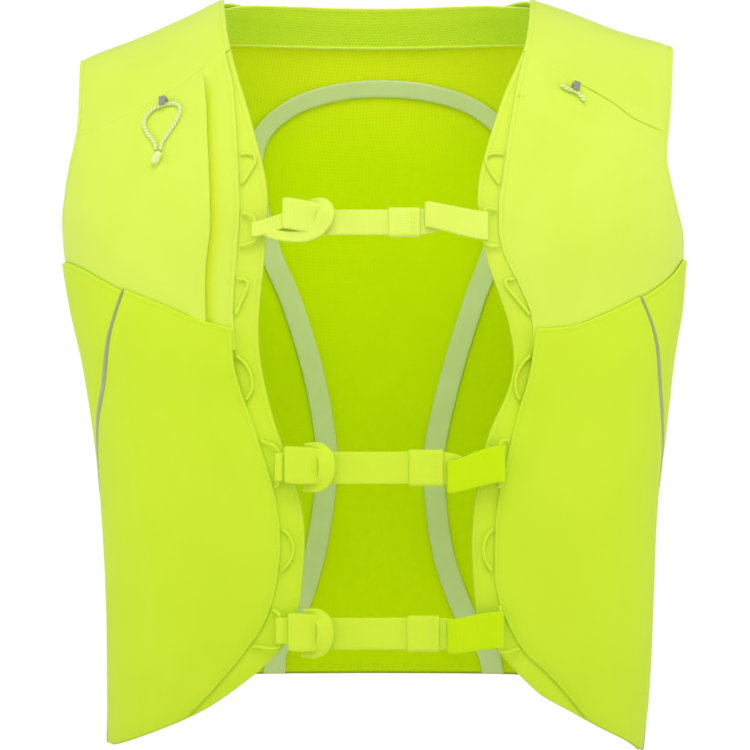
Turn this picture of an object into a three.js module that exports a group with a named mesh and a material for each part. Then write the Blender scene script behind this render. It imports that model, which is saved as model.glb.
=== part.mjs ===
// Running vest with stretch pockets, in its worn form.
// Millimetres, +Z up, +X to the viewer's right, the front faces -Y.
// The origin lies midway between the two shoulder tops, on the line where front meets back.

import * as THREE from "three";

// Cloth thicknesses and the spaces between layers
const PANEL_WALL = 1.5;
const POCKET_WALL = 1.2;
const TRIM_WALL = 1;
const LAYER_GAP = 0.9;
const INSIDE_GAP = 1.5;
const SEAM_GAP = 0.4;
const OUTER_LIFT = PANEL_WALL + LAYER_GAP;
const OUTER_FACE = OUTER_LIFT + POCKET_WALL;

// Shape of the worn body: boxy ovals that close in over the shoulders
const SQUARENESS = 2.6;
const SHOULDER_ROLL = 40;
const FRONT_DROP = 150;
const BACK_DROP = 110;
const SHOULDER_WIDTH = 191;
const SIDE_SEAM_TURN = 102;
const PATTERN_PER_DEGREE = 2.6;
const AIM_ROUNDS = 6;

// Half-widths and half-depths of the inside, downwards
const SECTIONS = [
  { z: 60, left: 191, right: 190, front: 98, back: 92 },
  { z: -40, left: 191.5, right: 190, front: 102, back: 97 },
  { z: -129, left: 192, right: 190, front: 108, back: 101 },
  { z: -160, left: 189, right: 188, front: 109.5, back: 100 },
  { z: -200, left: 182.6, right: 184.5, front: 109, back: 97 },
  { z: -267, left: 171.6, right: 177.6, front: 107, back: 93 },
  { z: -312, left: 167, right: 172.2, front: 104, back: 91 },
  { z: -373, left: 163, right: 168.6, front: 100, back: 90 },
  { z: -430, left: 162.9, right: 166.7, front: 97, back: 90 },
  { z: -475, left: 163.4, right: 162.2, front: 95, back: 90 },
];

// Height of the shoulder line, outwards from the middle
const SHOULDER_LINE = [
  { x: 0, left: 35, right: 35 },
  { x: 40, left: 27, right: 27 },
  { x: 70, left: 12, right: 12 },
  { x: 97, left: -2.8, right: -1 },
  { x: 116, left: -12.8, right: -8.4 },
  { x: 150, left: -27, right: -21 },
  { x: 184, left: -40, right: -30 },
  { x: 200, left: -46, right: -35 },
];

// Outlines of each front, at the face of their layer.
// x is the distance from the middle, turn is the angle from the front round the body.
const OUTLINES = {
  left: {
    openEdge: [
      { x: 96, z: 2 }, { x: 89, z: -31 }, { x: 74, z: -82 }, { x: 64, z: -123 }, { x: 65, z: -158 },
      { x: 69, z: -212 }, { x: 61, z: -256 }, { x: 46, z: -300 }, { x: 42, z: -333 }, { x: 47, z: -380 },
      { x: 55, z: -394 }, { x: 69, z: -408 },
    ],
    hem: [
      { x: 69, z: -408 }, { x: 88, z: -422.5 }, { x: 111, z: -436.5 }, { x: 140, z: -449.5 },
      { turn: 84, z: -460 }, { turn: 102, z: -458 },
    ],
    armhole: [
      { x: 184, z: -36 }, { x: 182.5, z: -60 }, { x: 183, z: -83 }, { x: 188, z: -106 },
      { x: 191.5, z: -125 }, { turn: 84, z: -144 }, { turn: 92, z: -159 }, { turn: 102, z: -165 },
    ],
    zip: [{ x: 91, z: -36 }, { x: 108, z: -51 }, { x: 128, z: -64 }, { x: 153, z: -76 }, { x: 179, z: -86 }],
    chestEdge: [
      { x: 88, z: -42 }, { x: 83, z: -82 }, { x: 80, z: -138 }, { x: 83, z: -174 }, { x: 84, z: -205 },
    ],
    lowerEdge: [
      { x: 84, z: -205 }, { x: 82, z: -232 }, { x: 69, z: -271 }, { x: 60, z: -300 }, { x: 56, z: -331 },
      { x: 59, z: -359 }, { x: 65, z: -378 }, { x: 73, z: -391 }, { x: 88, z: -411 }, { x: 108, z: -431 },
    ],
    pocketOpening: [
      { x: 84, z: -205 }, { x: 100, z: -201 }, { x: 125, z: -191 }, { x: 149, z: -182 },
    ],
    sideOpening: [
      { x: 149, z: -182 }, { x: 173, z: -170 }, { turn: 78, z: -163 }, { turn: 90, z: -164 },
      { turn: 101, z: -169 },
    ],
    piping: [
      { x: 149, z: -182 }, { x: 157, z: -205 }, { x: 165, z: -239 }, { x: 170, z: -260 },
      { turn: 80, z: -280 }, { turn: 92, z: -320 }, { turn: 95, z: -370 }, { turn: 91, z: -420 },
      { turn: 86, z: -456 },
    ],
  },
  right: {
    openEdge: [
      { x: 98, z: 2 }, { x: 92, z: -30 }, { x: 75, z: -72 }, { x: 61, z: -123 }, { x: 66, z: -163 },
      { x: 80, z: -206 }, { x: 81, z: -235 }, { x: 66, z: -273 }, { x: 58, z: -322 }, { x: 60, z: -370 },
      { x: 66, z: -388 }, { x: 86, z: -408 },
    ],
    hem: [
      { x: 86, z: -408 }, { x: 98, z: -422 }, { x: 121, z: -435.5 }, { x: 148, z: -451 },
      { turn: 84, z: -464 }, { turn: 102, z: -460 },
    ],
    armhole: [
      { x: 186, z: -26 }, { x: 183.5, z: -50 }, { x: 181, z: -74 }, { x: 178, z: -102 },
      { x: 184.5, z: -130 }, { turn: 82, z: -150 }, { turn: 92, z: -162 }, { turn: 102, z: -167 },
    ],
    zip: [
      { x: 91, z: -36 }, { x: 104, z: -45 }, { x: 122, z: -57 }, { x: 137, z: -63 }, { x: 155, z: -76 },
      { x: 178, z: -85 },
    ],
    chestEdge: [
      { x: 89, z: -42 }, { x: 84, z: -66 }, { x: 78, z: -100 }, { x: 73, z: -136 }, { x: 74, z: -155 },
      { x: 83, z: -174 }, { x: 95, z: -205 },
    ],
    lowerEdge: [
      { x: 95, z: -205 }, { x: 91, z: -232 }, { x: 84, z: -258 }, { x: 74, z: -300 }, { x: 71, z: -331 },
      { x: 72, z: -359 }, { x: 79, z: -380 }, { x: 90, z: -398 }, { x: 105, z: -415 }, { x: 118, z: -428 },
    ],
    pocketOpening: [
      { x: 95, z: -205 }, { x: 112, z: -205 }, { x: 133, z: -197 }, { x: 158, z: -186 },
    ],
    sideOpening: [
      { x: 158, z: -186 }, { x: 176, z: -175 }, { turn: 78, z: -162 }, { turn: 90, z: -165 },
      { turn: 101, z: -171 },
    ],
    piping: [
      { x: 158, z: -186 }, { x: 166, z: -205 }, { x: 173, z: -232 }, { x: 177, z: -260 },
      { turn: 82, z: -284 }, { turn: 92, z: -325 }, { turn: 94, z: -375 }, { turn: 89, z: -425 },
      { turn: 84, z: -460 },
    ],
  },
};
const SIDES = [
  { name: "left", sign: -1 },
  { name: "right", sign: 1 },
];

// Upright slot of the left chest pocket
const SLOT_LINE = [
  { x: 103, z: -55 }, { x: 101, z: -79 }, { x: 98, z: -140 }, { x: 101, z: -176 }, { x: 100, z: -210 },
];
const SLOT_HALF_GAP = 0.6;

// Back neckline, armholes and hem
const NECK_HALF_WIDTH = 96;
const NECKLINE = [{ x: 0, z: 4 }, { x: 60, z: 3 }, { x: NECK_HALF_WIDTH, z: -2 }];
const FACING_FOOT = [{ x: 0, z: -19 }, { x: 60, z: -19 }, { x: NECK_HALF_WIDTH, z: -20 }];
const FACING_INSET = 1;
const BACK_ARMHOLE = [
  { turn: 102, z: -166 }, { turn: 109, z: -150 }, { x: 183, z: -112, back: true },
  { x: 179, z: -76, back: true },
];
const BACK_HEM = [
  { turn: 102, z: -459 }, { turn: 114, z: -448 }, { turn: 126, z: -434 }, { turn: 140, z: -428.5 },
  { turn: 180, z: -427.5 },
];
const BACK_HEM_STEP = 6;

// Tape arch inside the back, from the middle of its top down to the hem
const TAPE_WIDTH = 13.5;
const TAPE_SHIFT = 4;
const TAPE_ARCH = [
  { x: 0, z: -43 }, { x: 30, z: -46 }, { x: 58, z: -56 }, { x: 77, z: -76 }, { x: 80, z: -105 },
  { x: 70, z: -150 }, { x: 57, z: -185 }, { x: 45, z: -232 }, { x: 36, z: -280 }, { x: 36, z: -310 },
  { x: 41, z: -350 }, { x: 53, z: -388 }, { x: 70, z: -422 },
];

// Pockets: the chest pocket runs down behind the lower one, whose opening stands off it and settles below
const POCKET_OVERLAP = 13;
const POCKET_STAND_OFF = POCKET_WALL + LAYER_GAP;
const POCKET_SETTLING = { from: 0.08, to: 0.22 };
const CHEST_FOOT_REACH = 0.92;
const LOWER_HEM_INSET = 3;
const SIDE_HEM_INSET = 4;
const SIDE_SEAM_INSET = 2;

// Piping and zips
const PIPING_WIDTH = 3;
const PIPING_WALL = 1.8;
const PIPING_CLEARANCE = 3.7;
const PIPING_STEPS = 14;
const ZIP_WIDTH = 3;
const ZIP_WALL = 1.3;
const ZIP_SINK = 0.3;
const ZIP_CLEARANCE = 2.9;
const ZIP_SPAN = { from: 0.02, to: 0.97 };
const ZIP_STEPS = 12;

// Cord loops along the open edges: heights of the two ends, and how far each stands out of the pocket edge
const LOOP_DIAMETER = 2;
const LOOP_CLEARANCE = 0.5;
const LOOP_TUCK = 2.3;
const LOOP_SPREAD = 0.36;
const LOOP_FACETS = 5;
const LOOP_STEPS = 7;
const LOOPS = [
  { top: -101, bottom: -120, left: 9, right: 11 },
  { top: -137, bottom: -157, left: 10, right: 8 },
  { top: -176, bottom: -197, left: 8, right: 10 },
  { top: -221, bottom: -247, left: 8, right: 8 },
  { top: -271, bottom: -298, left: 7, right: 6 },
  { top: -323, bottom: -348, left: 7, right: 7 },
  { top: -372, bottom: -392, left: 10, right: 10 },
];

// Elastic chest straps: middle height, widths, hooked loop, and the x where each ring starts and ends
const STRAP_WALL = 1.4;
const STRAP_STAND_OFF = 5.4;
const HOOK_BEND = 2.7;
const HOOK_HEIGHT = 8;
const RING_WALL = 1.6;
const RING_CLEARANCE = 0.4;
const KEEPER_BULGE = 2.5;
const BAND_TUCK = 6;
const SLEEVE_TUCK = 5;
const HOOK_TAPER = { front: 9, back: 8, narrowing: 3 };
const TAB_TAPER = { front: 8, back: 7, narrowing: 2, flare: 3, returnLength: 15, returnNarrowing: 4 };
const STRAPS = [
  { name: "top", z: -143, height: 15, tabHeight: 20, loop: 2, keeper: [-35, -23], sleeve: [8, 26] },
  { name: "middle", z: -287, height: 19, tabHeight: 24, loop: 5, keeper: [-35, -23], sleeve: [20, 39] },
  { name: "bottom", z: -385, height: 19, tabHeight: 23, loop: 7, keeper: [-35, -24], sleeve: [19, 37] },
];

// Zip pulls, and the cord loop on the left one as seen on the chest
const PULLER_WIDTH = 4.5;
const PULLER_PLATE = 1.2;
const PULLER_REACH = 5;
const PULLER_HEAD = 3;
const PULLERS = [
  { side: "left", x: 126, z: -69.5, lean: 12 },
  { side: "right", x: 120.5, z: -60.5, lean: -20 },
];
const ZIP_CORD_DIAMETER = 2.6;
const CORD_FACETS = 8;
const CORD_STEPS = 18;
const ZIP_CORD_ROUTE = [
  { x: 130.4, z: -98.5 }, { x: 130.9, z: -95.5 }, { x: 132.8, z: -92 }, { x: 135.7, z: -88.5 },
  { x: 137.8, z: -84.5 }, { x: 138.3, z: -80.5 }, { x: 136.5, z: -76.5 }, { x: 133, z: -73.1 },
  { x: 129, z: -71.2 }, { x: 124.5, z: -70.2 }, { x: 120.1, z: -70 }, { x: 117.1, z: -71.7 },
  { x: 116.4, z: -75 }, { x: 118.1, z: -80 }, { x: 121.1, z: -85.5 }, { x: 124.5, z: -90.5 },
  { x: 126.9, z: -94.5 }, { x: 127.5, z: -98.5 },
];
const CORD_TIP = { x: 130.4, z: -104.6, length: 9, radius: 2.9, lean: 20 };

const MATERIALS = {
  shell: { color: 0xdcf850, roughness: 0.75 },
  mesh: { color: 0xb6dc10, roughness: 0.85 },
  elastic: { color: 0xdcf468, roughness: 0.8 },
  tape: { color: 0xb2cd8c, roughness: 0.6 },
  reflective: { color: 0x9aa090, roughness: 0.4 },
  puller: { color: 0x8a8f86, roughness: 0.45 },
  cord: { color: 0xe4efb0, roughness: 0.8 },
};

const model = new THREE.Group();

function addPiece(name, material, geometry, parent = model) {
  const mesh = new THREE.Mesh(geometry, new THREE.MeshStandardMaterial(MATERIALS[material]));
  mesh.name = name;
  parent.add(mesh);
  return mesh;
}

// Tables: smooth value of one column at a place along the key column

function column(table, key, name, at) {
  const rising = table[1][key] > table[0][key];
  const isPast = (row) => (rising ? row[key] < at : row[key] > at);
  const last = table.length - 1;
  let row = 0;
  while (row < last - 1 && isPast(table[row + 1])) row += 1;
  const start = table[row];
  const end = table[row + 1];
  const before = table[Math.max(row - 1, 0)];
  const after = table[Math.min(row + 2, last)];
  const slope = (from, to) => (to[name] - from[name]) / (to[key] - from[key]);
  const span = end[key] - start[key];
  const share = THREE.MathUtils.clamp((at - start[key]) / span, 0, 1);
  const square = share * share;
  const cube = square * share;
  return (
    (2 * cube - 3 * square + 1) * start[name] +
    (cube - 2 * square + share) * span * slope(before, end) +
    (3 * square - 2 * cube) * end[name] +
    (cube - square) * span * slope(start, after)
  );
}

// Body surface: a spot is a Vector2 of pattern girth and length.
// Girth runs from the front towards +X, length runs down from the shoulder line.

function dropAt(length) {
  return Math.hypot(length, SHOULDER_ROLL) - SHOULDER_ROLL;
}

function lengthFor(drop) {
  const reach = Math.max(drop, 0) + SHOULDER_ROLL;
  return Math.sqrt(reach * reach - SHOULDER_ROLL * SHOULDER_ROLL);
}

function bodyPoint(spot) {
  const angle = spot.x / PATTERN_PER_DEGREE;
  const side = angle <= 180 ? SIDES[1] : SIDES[0];
  const turn = THREE.MathUtils.degToRad(angle <= 180 ? angle : 360 - angle);
  const across = Math.abs(Math.sin(turn)) ** (2 / SQUARENESS);
  const depth = Math.abs(Math.cos(turn)) ** (2 / SQUARENESS);
  const drop = dropAt(spot.y);
  const z = column(SHOULDER_LINE, "x", side.name, across * SHOULDER_WIDTH) - drop;
  const front = Math.cos(turn) > 0;
  const full = Math.min(drop / (front ? FRONT_DROP : BACK_DROP), 1);
  const dome = Math.sign(spot.y) * Math.sqrt(1 - (1 - full) ** 2);
  const reach = column(SECTIONS, "z", front ? "front" : "back", z);
  return new THREE.Vector3(
    side.sign * across * column(SECTIONS, "z", side.name, z),
    (front ? -1 : 1) * reach * depth * dome,
    z,
  );
}

function bodyNormal(spot) {
  const step = 1;
  const ahead = bodyPoint(new THREE.Vector2(spot.x + step, spot.y));
  const behind = bodyPoint(new THREE.Vector2(spot.x - step, spot.y));
  const below = bodyPoint(new THREE.Vector2(spot.x, spot.y + step));
  const above = bodyPoint(new THREE.Vector2(spot.x, spot.y - step));
  return below.sub(above).cross(ahead.sub(behind)).normalize();
}

function bodyFrame(spot) {
  return { point: bodyPoint(spot), normal: bodyNormal(spot), lift: 0 };
}

// Spot on the body surface itself at a row of an outline
function spotAt(side, row) {
  let turn = row.turn;
  if (turn === undefined) {
    const share = Math.max(row.x, 0) / column(SECTIONS, "z", side.name, row.z);
    turn = THREE.MathUtils.radToDeg(Math.asin(Math.min(share, 1) ** (SQUARENESS / 2)));
    if (row.back) turn = 180 - turn;
  }
  const across = Math.sin(THREE.MathUtils.degToRad(turn)) ** (2 / SQUARENESS);
  const drop = column(SHOULDER_LINE, "x", side.name, across * SHOULDER_WIDTH) - row.z;
  const angle = side.sign > 0 ? turn : 360 - turn;
  return new THREE.Vector2(angle * PATTERN_PER_DEGREE, lengthFor(drop));
}

// Spot from which a lift along the normal ends at a row of an outline
function spotOf(side, row, lift = 0) {
  if (lift === 0 || row.turn !== undefined) return spotAt(side, row);
  const aim = { ...row };
  for (let round = 0; round < AIM_ROUNDS; round += 1) {
    const { point, normal } = bodyFrame(spotAt(side, aim));
    point.addScaledVector(normal, lift);
    aim.x += row.x - side.sign * point.x;
    aim.z += row.z - point.z;
  }
  return spotAt(side, aim);
}

// Edges are functions from a share of the way along to a spot

function smoothEdge(spots) {
  const curve = new THREE.SplineCurve(spots);
  curve.arcLengthDivisions = 400;
  return (share) => curve.getPointAt(share);
}

function outlineEdge(side, rows, lift = 0) {
  return smoothEdge(rows.map((row) => spotOf(side, row, lift)));
}

function chainEdges(first, second, joinShare) {
  return (share) =>
    share <= joinShare ? first(share / joinShare) : second((share - joinShare) / (1 - joinShare));
}

function shiftEdge(edge, girth, length = 0) {
  return (share) => edge(share).clone().add(new THREE.Vector2(girth, length));
}

function partOfEdge(edge, from, to) {
  return (share) => edge(from + share * (to - from));
}

// Edge kept off the shoulder line, where front and back meet
function belowSeam(edge) {
  return (share) => {
    const spot = edge(share).clone();
    spot.y = Math.max(spot.y, SEAM_GAP / 2);
    return spot;
  };
}

// Share of an edge at which it first reaches a given length below the shoulder line
function shareAtLength(edge, length) {
  return firstShare((share) => edge(share).y >= length);
}

// Share of an edge at which it has gone round the body to a given girth
function shareAtGirth(edge, girth) {
  const reach = Math.abs(girth - edge(0).x);
  return firstShare((share) => Math.abs(edge(share).x - edge(0).x) >= reach);
}

function firstShare(isReached) {
  const steps = 400;
  let step = 0;
  while (step < steps && !isReached(step / steps)) step += 1;
  return step / steps;
}

// Grid of body frames filling the space between four edges
function fillPatch({ top, bottom, start, end }, rows, columns, liftAt = () => 0) {
  const corner = (edge, share, weight) => edge(share).clone().multiplyScalar(weight);
  const grid = [];
  for (let row = 0; row <= rows; row += 1) {
    const down = row / rows;
    const frames = [];
    for (let step = 0; step <= columns; step += 1) {
      const across = step / columns;
      const spot = corner(top, across, 1 - down)
        .add(corner(bottom, across, down))
        .add(corner(start, down, 1 - across))
        .add(corner(end, down, across))
        .sub(corner(top, 0, (1 - across) * (1 - down)))
        .sub(corner(top, 1, across * (1 - down)))
        .sub(corner(bottom, 0, (1 - across) * down))
        .sub(corner(bottom, 1, across * down));
      frames.push({ ...bodyFrame(spot), lift: liftAt(down) });
    }
    grid.push(frames);
  }
  return grid;
}

// Grid of two columns along a path of frames, for ribbons
function fillRibbon(frames, width) {
  const last = frames.length - 1;
  return frames.map((frame, step) => {
    const ahead = frames[Math.min(step + 1, last)].point;
    const behind = frames[Math.max(step - 1, 0)].point;
    const side = ahead.clone().sub(behind).cross(frame.normal).setLength(width / 2);
    const edgeFrame = (point) => ({ point, normal: frame.normal, lift: 0 });
    return [edgeFrame(frame.point.clone().add(side)), edgeFrame(frame.point.clone().sub(side))];
  });
}

// Closed wall over a grid of frames, from one offset along the normals to another
function clothWall(grid, inner, outer) {
  const rows = grid.length;
  const columns = grid[0].length;
  const positions = [];
  for (const offset of [inner, outer]) {
    for (const frame of grid.flat()) {
      const point = frame.point.clone().addScaledVector(frame.normal, offset + frame.lift);
      positions.push(point.x, point.y, point.z);
    }
  }
  const innerAt = (row, step) => row * columns + step;
  const outerAt = (row, step) => rows * columns + innerAt(row, step);
  const index = [];
  const quad = (a, b, c, d) => index.push(a, b, d, b, c, d);
  for (let row = 0; row < rows - 1; row += 1) {
    for (let step = 0; step < columns - 1; step += 1) {
      quad(outerAt(row, step), outerAt(row + 1, step), outerAt(row + 1, step + 1), outerAt(row, step + 1));
      quad(innerAt(row, step), innerAt(row, step + 1), innerAt(row + 1, step + 1), innerAt(row + 1, step));
    }
  }
  const rim = (row, step, nextRow, nextStep) =>
    quad(outerAt(row, step), outerAt(nextRow, nextStep), innerAt(nextRow, nextStep), innerAt(row, step));
  for (let row = 0; row < rows - 1; row += 1) {
    rim(row + 1, 0, row, 0);
    rim(row, columns - 1, row + 1, columns - 1);
  }
  for (let step = 0; step < columns - 1; step += 1) {
    rim(0, step, 0, step + 1);
    rim(rows - 1, step + 1, rows - 1, step);
  }
  const geometry = new THREE.BufferGeometry();
  geometry.setAttribute("position", new THREE.Float32BufferAttribute(positions, 3));
  geometry.setIndex(index);
  return signedVolume(geometry) > 0 ? geometry : turnInsideOut(geometry);
}

function signedVolume(geometry) {
  const points = geometry.getAttribute("position");
  const index = geometry.getIndex();
  const corners = [new THREE.Vector3(), new THREE.Vector3(), new THREE.Vector3()];
  let volume = 0;
  for (let face = 0; face < index.count; face += 3) {
    corners.forEach((corner, which) => corner.fromBufferAttribute(points, index.getX(face + which)));
    volume += corners[0].dot(corners[1].clone().cross(corners[2])) / 6;
  }
  return volume;
}

function turnInsideOut(geometry) {
  const index = Array.from(geometry.getIndex().array);
  for (let face = 0; face < index.length; face += 3) {
    [index[face], index[face + 1]] = [index[face + 1], index[face]];
  }
  geometry.setIndex(index);
  return geometry;
}

function cordPath(points) {
  return new THREE.CatmullRomCurve3(points, false, "centripetal");
}

// Round cord along a smooth path of points
function cordGeometry(points, diameter, sides, steps) {
  const section = new THREE.Shape();
  for (let side = 0; side < sides; side += 1) {
    const angle = (2 * Math.PI * side) / sides;
    const corner = [(diameter / 2) * Math.cos(angle), (diameter / 2) * Math.sin(angle)];
    if (side === 0) section.moveTo(...corner);
    else section.lineTo(...corner);
  }
  return new THREE.ExtrudeGeometry(section, { steps, extrudePath: cordPath(points), bevelEnabled: false });
}

// Back panel with its facing and tape

const ROWS_ARMHOLE = 8;
const ROWS_SEAM = 13;
const BODY_ROWS = ROWS_ARMHOLE + ROWS_SEAM;
const FRONT_COLUMNS = 11;
const BACK_COLUMNS = 24;
const FACING_ROWS = 2;
const TAPE_STEPS = 32;

// Spots across the back from the right neck point to the left one, at the heights of a table
function acrossNeck(table) {
  const points = 12;
  return Array.from({ length: points + 1 }, (unused, index) => {
    const x = NECK_HALF_WIDTH * (1 - (2 * index) / points);
    const side = x < 0 ? SIDES[0] : SIDES[1];
    return spotOf(side, { x: Math.abs(x), z: column(table, "x", "z", Math.abs(x)), back: true });
  });
}

// Spots of the back hem on one side, from the side seam to just before the middle
function hemSpots(side) {
  const spots = [];
  for (let turn = SIDE_SEAM_TURN + BACK_HEM_STEP; turn < 180; turn += BACK_HEM_STEP) {
    spots.push(spotOf(side, { turn, z: column(BACK_HEM, "turn", "z", turn) }));
  }
  return spots;
}

function backSideEdge(side) {
  const outline = OUTLINES[side.name];
  const tip = spotOf(side, { ...outline.armhole[0], back: true });
  tip.y = SEAM_GAP / 2;
  const seamTop = outline.armhole.at(-1);
  const armhole = smoothEdge([tip, ...BACK_ARMHOLE.map((row) => spotOf(side, row)).reverse()]);
  const seam = outlineEdge(side, [{ turn: SIDE_SEAM_TURN, z: seamTop.z - 1 }, outline.hem.at(-1)]);
  const seamOffset = side.sign * SEAM_GAP;
  return shiftEdge(chainEdges(armhole, seam, ROWS_ARMHOLE / BODY_ROWS), seamOffset);
}

function makeBack() {
  const [left, right] = SIDES;
  const start = backSideEdge(right);
  const end = backSideEdge(left);
  const neckline = smoothEdge(acrossNeck(NECKLINE));
  const level = (edge) => (share) => edge(share).clone().setY(SEAM_GAP / 2);
  const rightShoulder = level(smoothEdge([start(0), neckline(0)]));
  const leftShoulder = level(smoothEdge([neckline(1), end(0)]));
  const top = chainEdges(rightShoulder, chainEdges(neckline, leftShoulder, 2 / 3), 1 / 4);
  const hemMiddle = spotOf(right, BACK_HEM.at(-1));
  const bottom = smoothEdge([start(1), ...hemSpots(right), hemMiddle, ...hemSpots(left).reverse(), end(1)]);
  const backGrid = fillPatch({ top, bottom, start, end }, BODY_ROWS, BACK_COLUMNS);
  addPiece("back_panel", "mesh", clothWall(backGrid, 0, PANEL_WALL));

  const facingTop = shiftEdge(neckline, 0, FACING_INSET);
  const facingFoot = smoothEdge(acrossNeck(FACING_FOOT));
  const facing = {
    top: facingTop,
    bottom: facingFoot,
    start: smoothEdge([facingTop(0), facingFoot(0)]),
    end: smoothEdge([facingTop(1), facingFoot(1)]),
  };
  const facingGrid = fillPatch(facing, FACING_ROWS, BACK_COLUMNS / 2);
  addPiece("back_neck_facing", "mesh", clothWall(facingGrid, -INSIDE_GAP - TRIM_WALL, -INSIDE_GAP));
}

function makeTape() {
  const half = TAPE_ARCH.map((row) => new THREE.Vector2(row.x, row.z));
  const mirrored = half.slice(1).reverse().map((point) => new THREE.Vector2(-point.x, point.y));
  const arch = new THREE.SplineCurve([...mirrored, ...half]);
  const frames = arch.getSpacedPoints(TAPE_STEPS).map((point) => {
    const x = point.x + TAPE_SHIFT;
    const side = x < 0 ? SIDES[0] : SIDES[1];
    return bodyFrame(spotOf(side, { x: Math.abs(x), z: point.y, back: true }));
  });
  const grid = fillRibbon(frames, TAPE_WIDTH);
  addPiece("back_tape", "tape", clothWall(grid, -INSIDE_GAP - TRIM_WALL, -INSIDE_GAP));
}

// Front of one side

function makeFrontPanel(side) {
  const outline = OUTLINES[side.name];
  const start = belowSeam(outlineEdge(side, outline.openEdge, PANEL_WALL));
  const armhole = belowSeam(outlineEdge(side, outline.armhole, PANEL_WALL));
  const bottom = outlineEdge(side, outline.hem, PANEL_WALL);
  const seam = smoothEdge([armhole(1), bottom(1)]);
  const end = chainEdges(armhole, seam, ROWS_ARMHOLE / BODY_ROWS);
  const top = smoothEdge([start(0), end(0)]);
  const grid = fillPatch({ top, bottom, start, end }, BODY_ROWS, FRONT_COLUMNS);
  addPiece(`front_panel_${side.name}`, "shell", clothWall(grid, 0, PANEL_WALL));
}

const YOKE_BACK_LENGTH = -14;
const YOKE_RIDGE_ROWS = 2;
const YOKE_ROWS = 9;
const YOKE_COLUMNS = 9;
const YOKE_ZIP_SHARES = [0.06, 0.2, 0.35, 0.5, 0.65, 0.8, 0.94];

function makeYoke(side) {
  const outline = OUTLINES[side.name];
  const zip = shiftEdge(outlineEdge(side, outline.zip, OUTER_FACE), 0, -ZIP_CLEARANCE);
  const openEdge = outlineEdge(side, outline.openEdge, OUTER_FACE);
  const armhole = outlineEdge(side, outline.armhole, OUTER_FACE);
  const inner = partOfEdge(openEdge, 0, shareAtLength(openEdge, zip(0).y));
  const outer = partOfEdge(armhole, 0, shareAtLength(armhole, zip(1).y));
  const atBack = (spot) => spot.clone().setY(YOKE_BACK_LENGTH);
  const overShoulder = (edge) =>
    chainEdges(smoothEdge([atBack(edge(0)), edge(0)]), edge, YOKE_RIDGE_ROWS / YOKE_ROWS);
  const start = overShoulder(inner);
  const end = overShoulder(outer);
  const top = smoothEdge([start(0), end(0)]);
  const bottom = smoothEdge([start(1), ...YOKE_ZIP_SHARES.map(zip), end(1)]);
  const grid = fillPatch({ top, bottom, start, end }, YOKE_ROWS, YOKE_COLUMNS);
  addPiece(`shoulder_yoke_${side.name}`, "shell", clothWall(grid, OUTER_LIFT, OUTER_FACE));
}

function makeZip(side) {
  const line = outlineEdge(side, OUTLINES[side.name].zip, OUTER_FACE);
  const edge = partOfEdge(line, ZIP_SPAN.from, ZIP_SPAN.to);
  const frames = Array.from({ length: ZIP_STEPS + 1 }, (unused, step) => bodyFrame(edge(step / ZIP_STEPS)));
  const sunk = OUTER_LIFT - ZIP_SINK;
  const geometry = clothWall(fillRibbon(frames, ZIP_WIDTH), sunk, sunk + ZIP_WALL);
  addPiece(`chest_zip_${side.name}`, "shell", geometry);
}

const CHEST_ROWS = 12;
const CHEST_COLUMNS = 9;
const SLOT_STRIP_COLUMNS = 2;
const CHEST_SIDE_SHARES = [0.12, 0.25, 0.38, 0.5, 0.62, 0.75, 0.88, 0.97];

function makeChestPocket(side) {
  const outline = OUTLINES[side.name];
  const zip = shiftEdge(outlineEdge(side, outline.zip, OUTER_FACE), 0, ZIP_CLEARANCE);
  const armhole = outlineEdge(side, outline.armhole, OUTER_FACE);
  const openingRows = [...outline.pocketOpening, ...outline.sideOpening.slice(1, 3)];
  const opening = outlineEdge(side, openingRows, OUTER_FACE);
  const foot = shiftEdge(opening, 0, POCKET_OVERLAP);
  const hasSlot = side.name === "left";
  const chestEdge = outlineEdge(side, outline.chestEdge, OUTER_FACE);
  const slotEdge = (shift) => shiftEdge(outlineEdge(side, SLOT_LINE, OUTER_FACE), side.sign * shift);
  const outerTop = shareAtLength(armhole, zip(1).y);
  const outerFoot = shareAtLength(armhole, foot(1).y - POCKET_OVERLAP);
  const outerEdge = partOfEdge(armhole, outerTop, outerFoot);
  const lengthen = (edge, from, to) => smoothEdge([from, ...CHEST_SIDE_SHARES.map(edge), to]);

  const inner = hasSlot ? slotEdge(SLOT_HALF_GAP) : chestEdge;
  const topFrom = hasSlot ? shareAtGirth(zip, inner(0).x) : 0;
  const footFrom = hasSlot ? shareAtGirth(foot, inner(1).x) : 0;
  const top = partOfEdge(zip, topFrom, 1);
  const bottomMiddle = partOfEdge(foot, footFrom, CHEST_FOOT_REACH);
  const bottom = smoothEdge([
    bottomMiddle(0), bottomMiddle(0.25), bottomMiddle(0.5), bottomMiddle(0.75), outerEdge(1),
  ]);
  const start = lengthen(inner, top(0), bottom(0));
  const end = lengthen(outerEdge, top(1), bottom(1));
  const grid = fillPatch({ top, bottom, start, end }, CHEST_ROWS, CHEST_COLUMNS);
  addPiece(`chest_pocket_${side.name}`, "shell", clothWall(grid, OUTER_LIFT, OUTER_FACE));

  if (hasSlot) {
    const slot = slotEdge(-SLOT_HALF_GAP);
    const stripTop = partOfEdge(zip, 0, shareAtGirth(zip, slot(0).x));
    const stripFoot = partOfEdge(foot, 0, shareAtGirth(foot, slot(1).x));
    const strip = {
      top: stripTop,
      bottom: stripFoot,
      start: lengthen(chestEdge, stripTop(0), stripFoot(0)),
      end: lengthen(slot, stripTop(1), stripFoot(1)),
    };
    const stripGrid = fillPatch(strip, CHEST_ROWS, SLOT_STRIP_COLUMNS);
    addPiece("slot_strip_left", "shell", clothWall(stripGrid, OUTER_LIFT, OUTER_FACE));
  }
}

const LOWER_COLUMNS = 9;
const SIDE_COLUMNS = 5;

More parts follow.
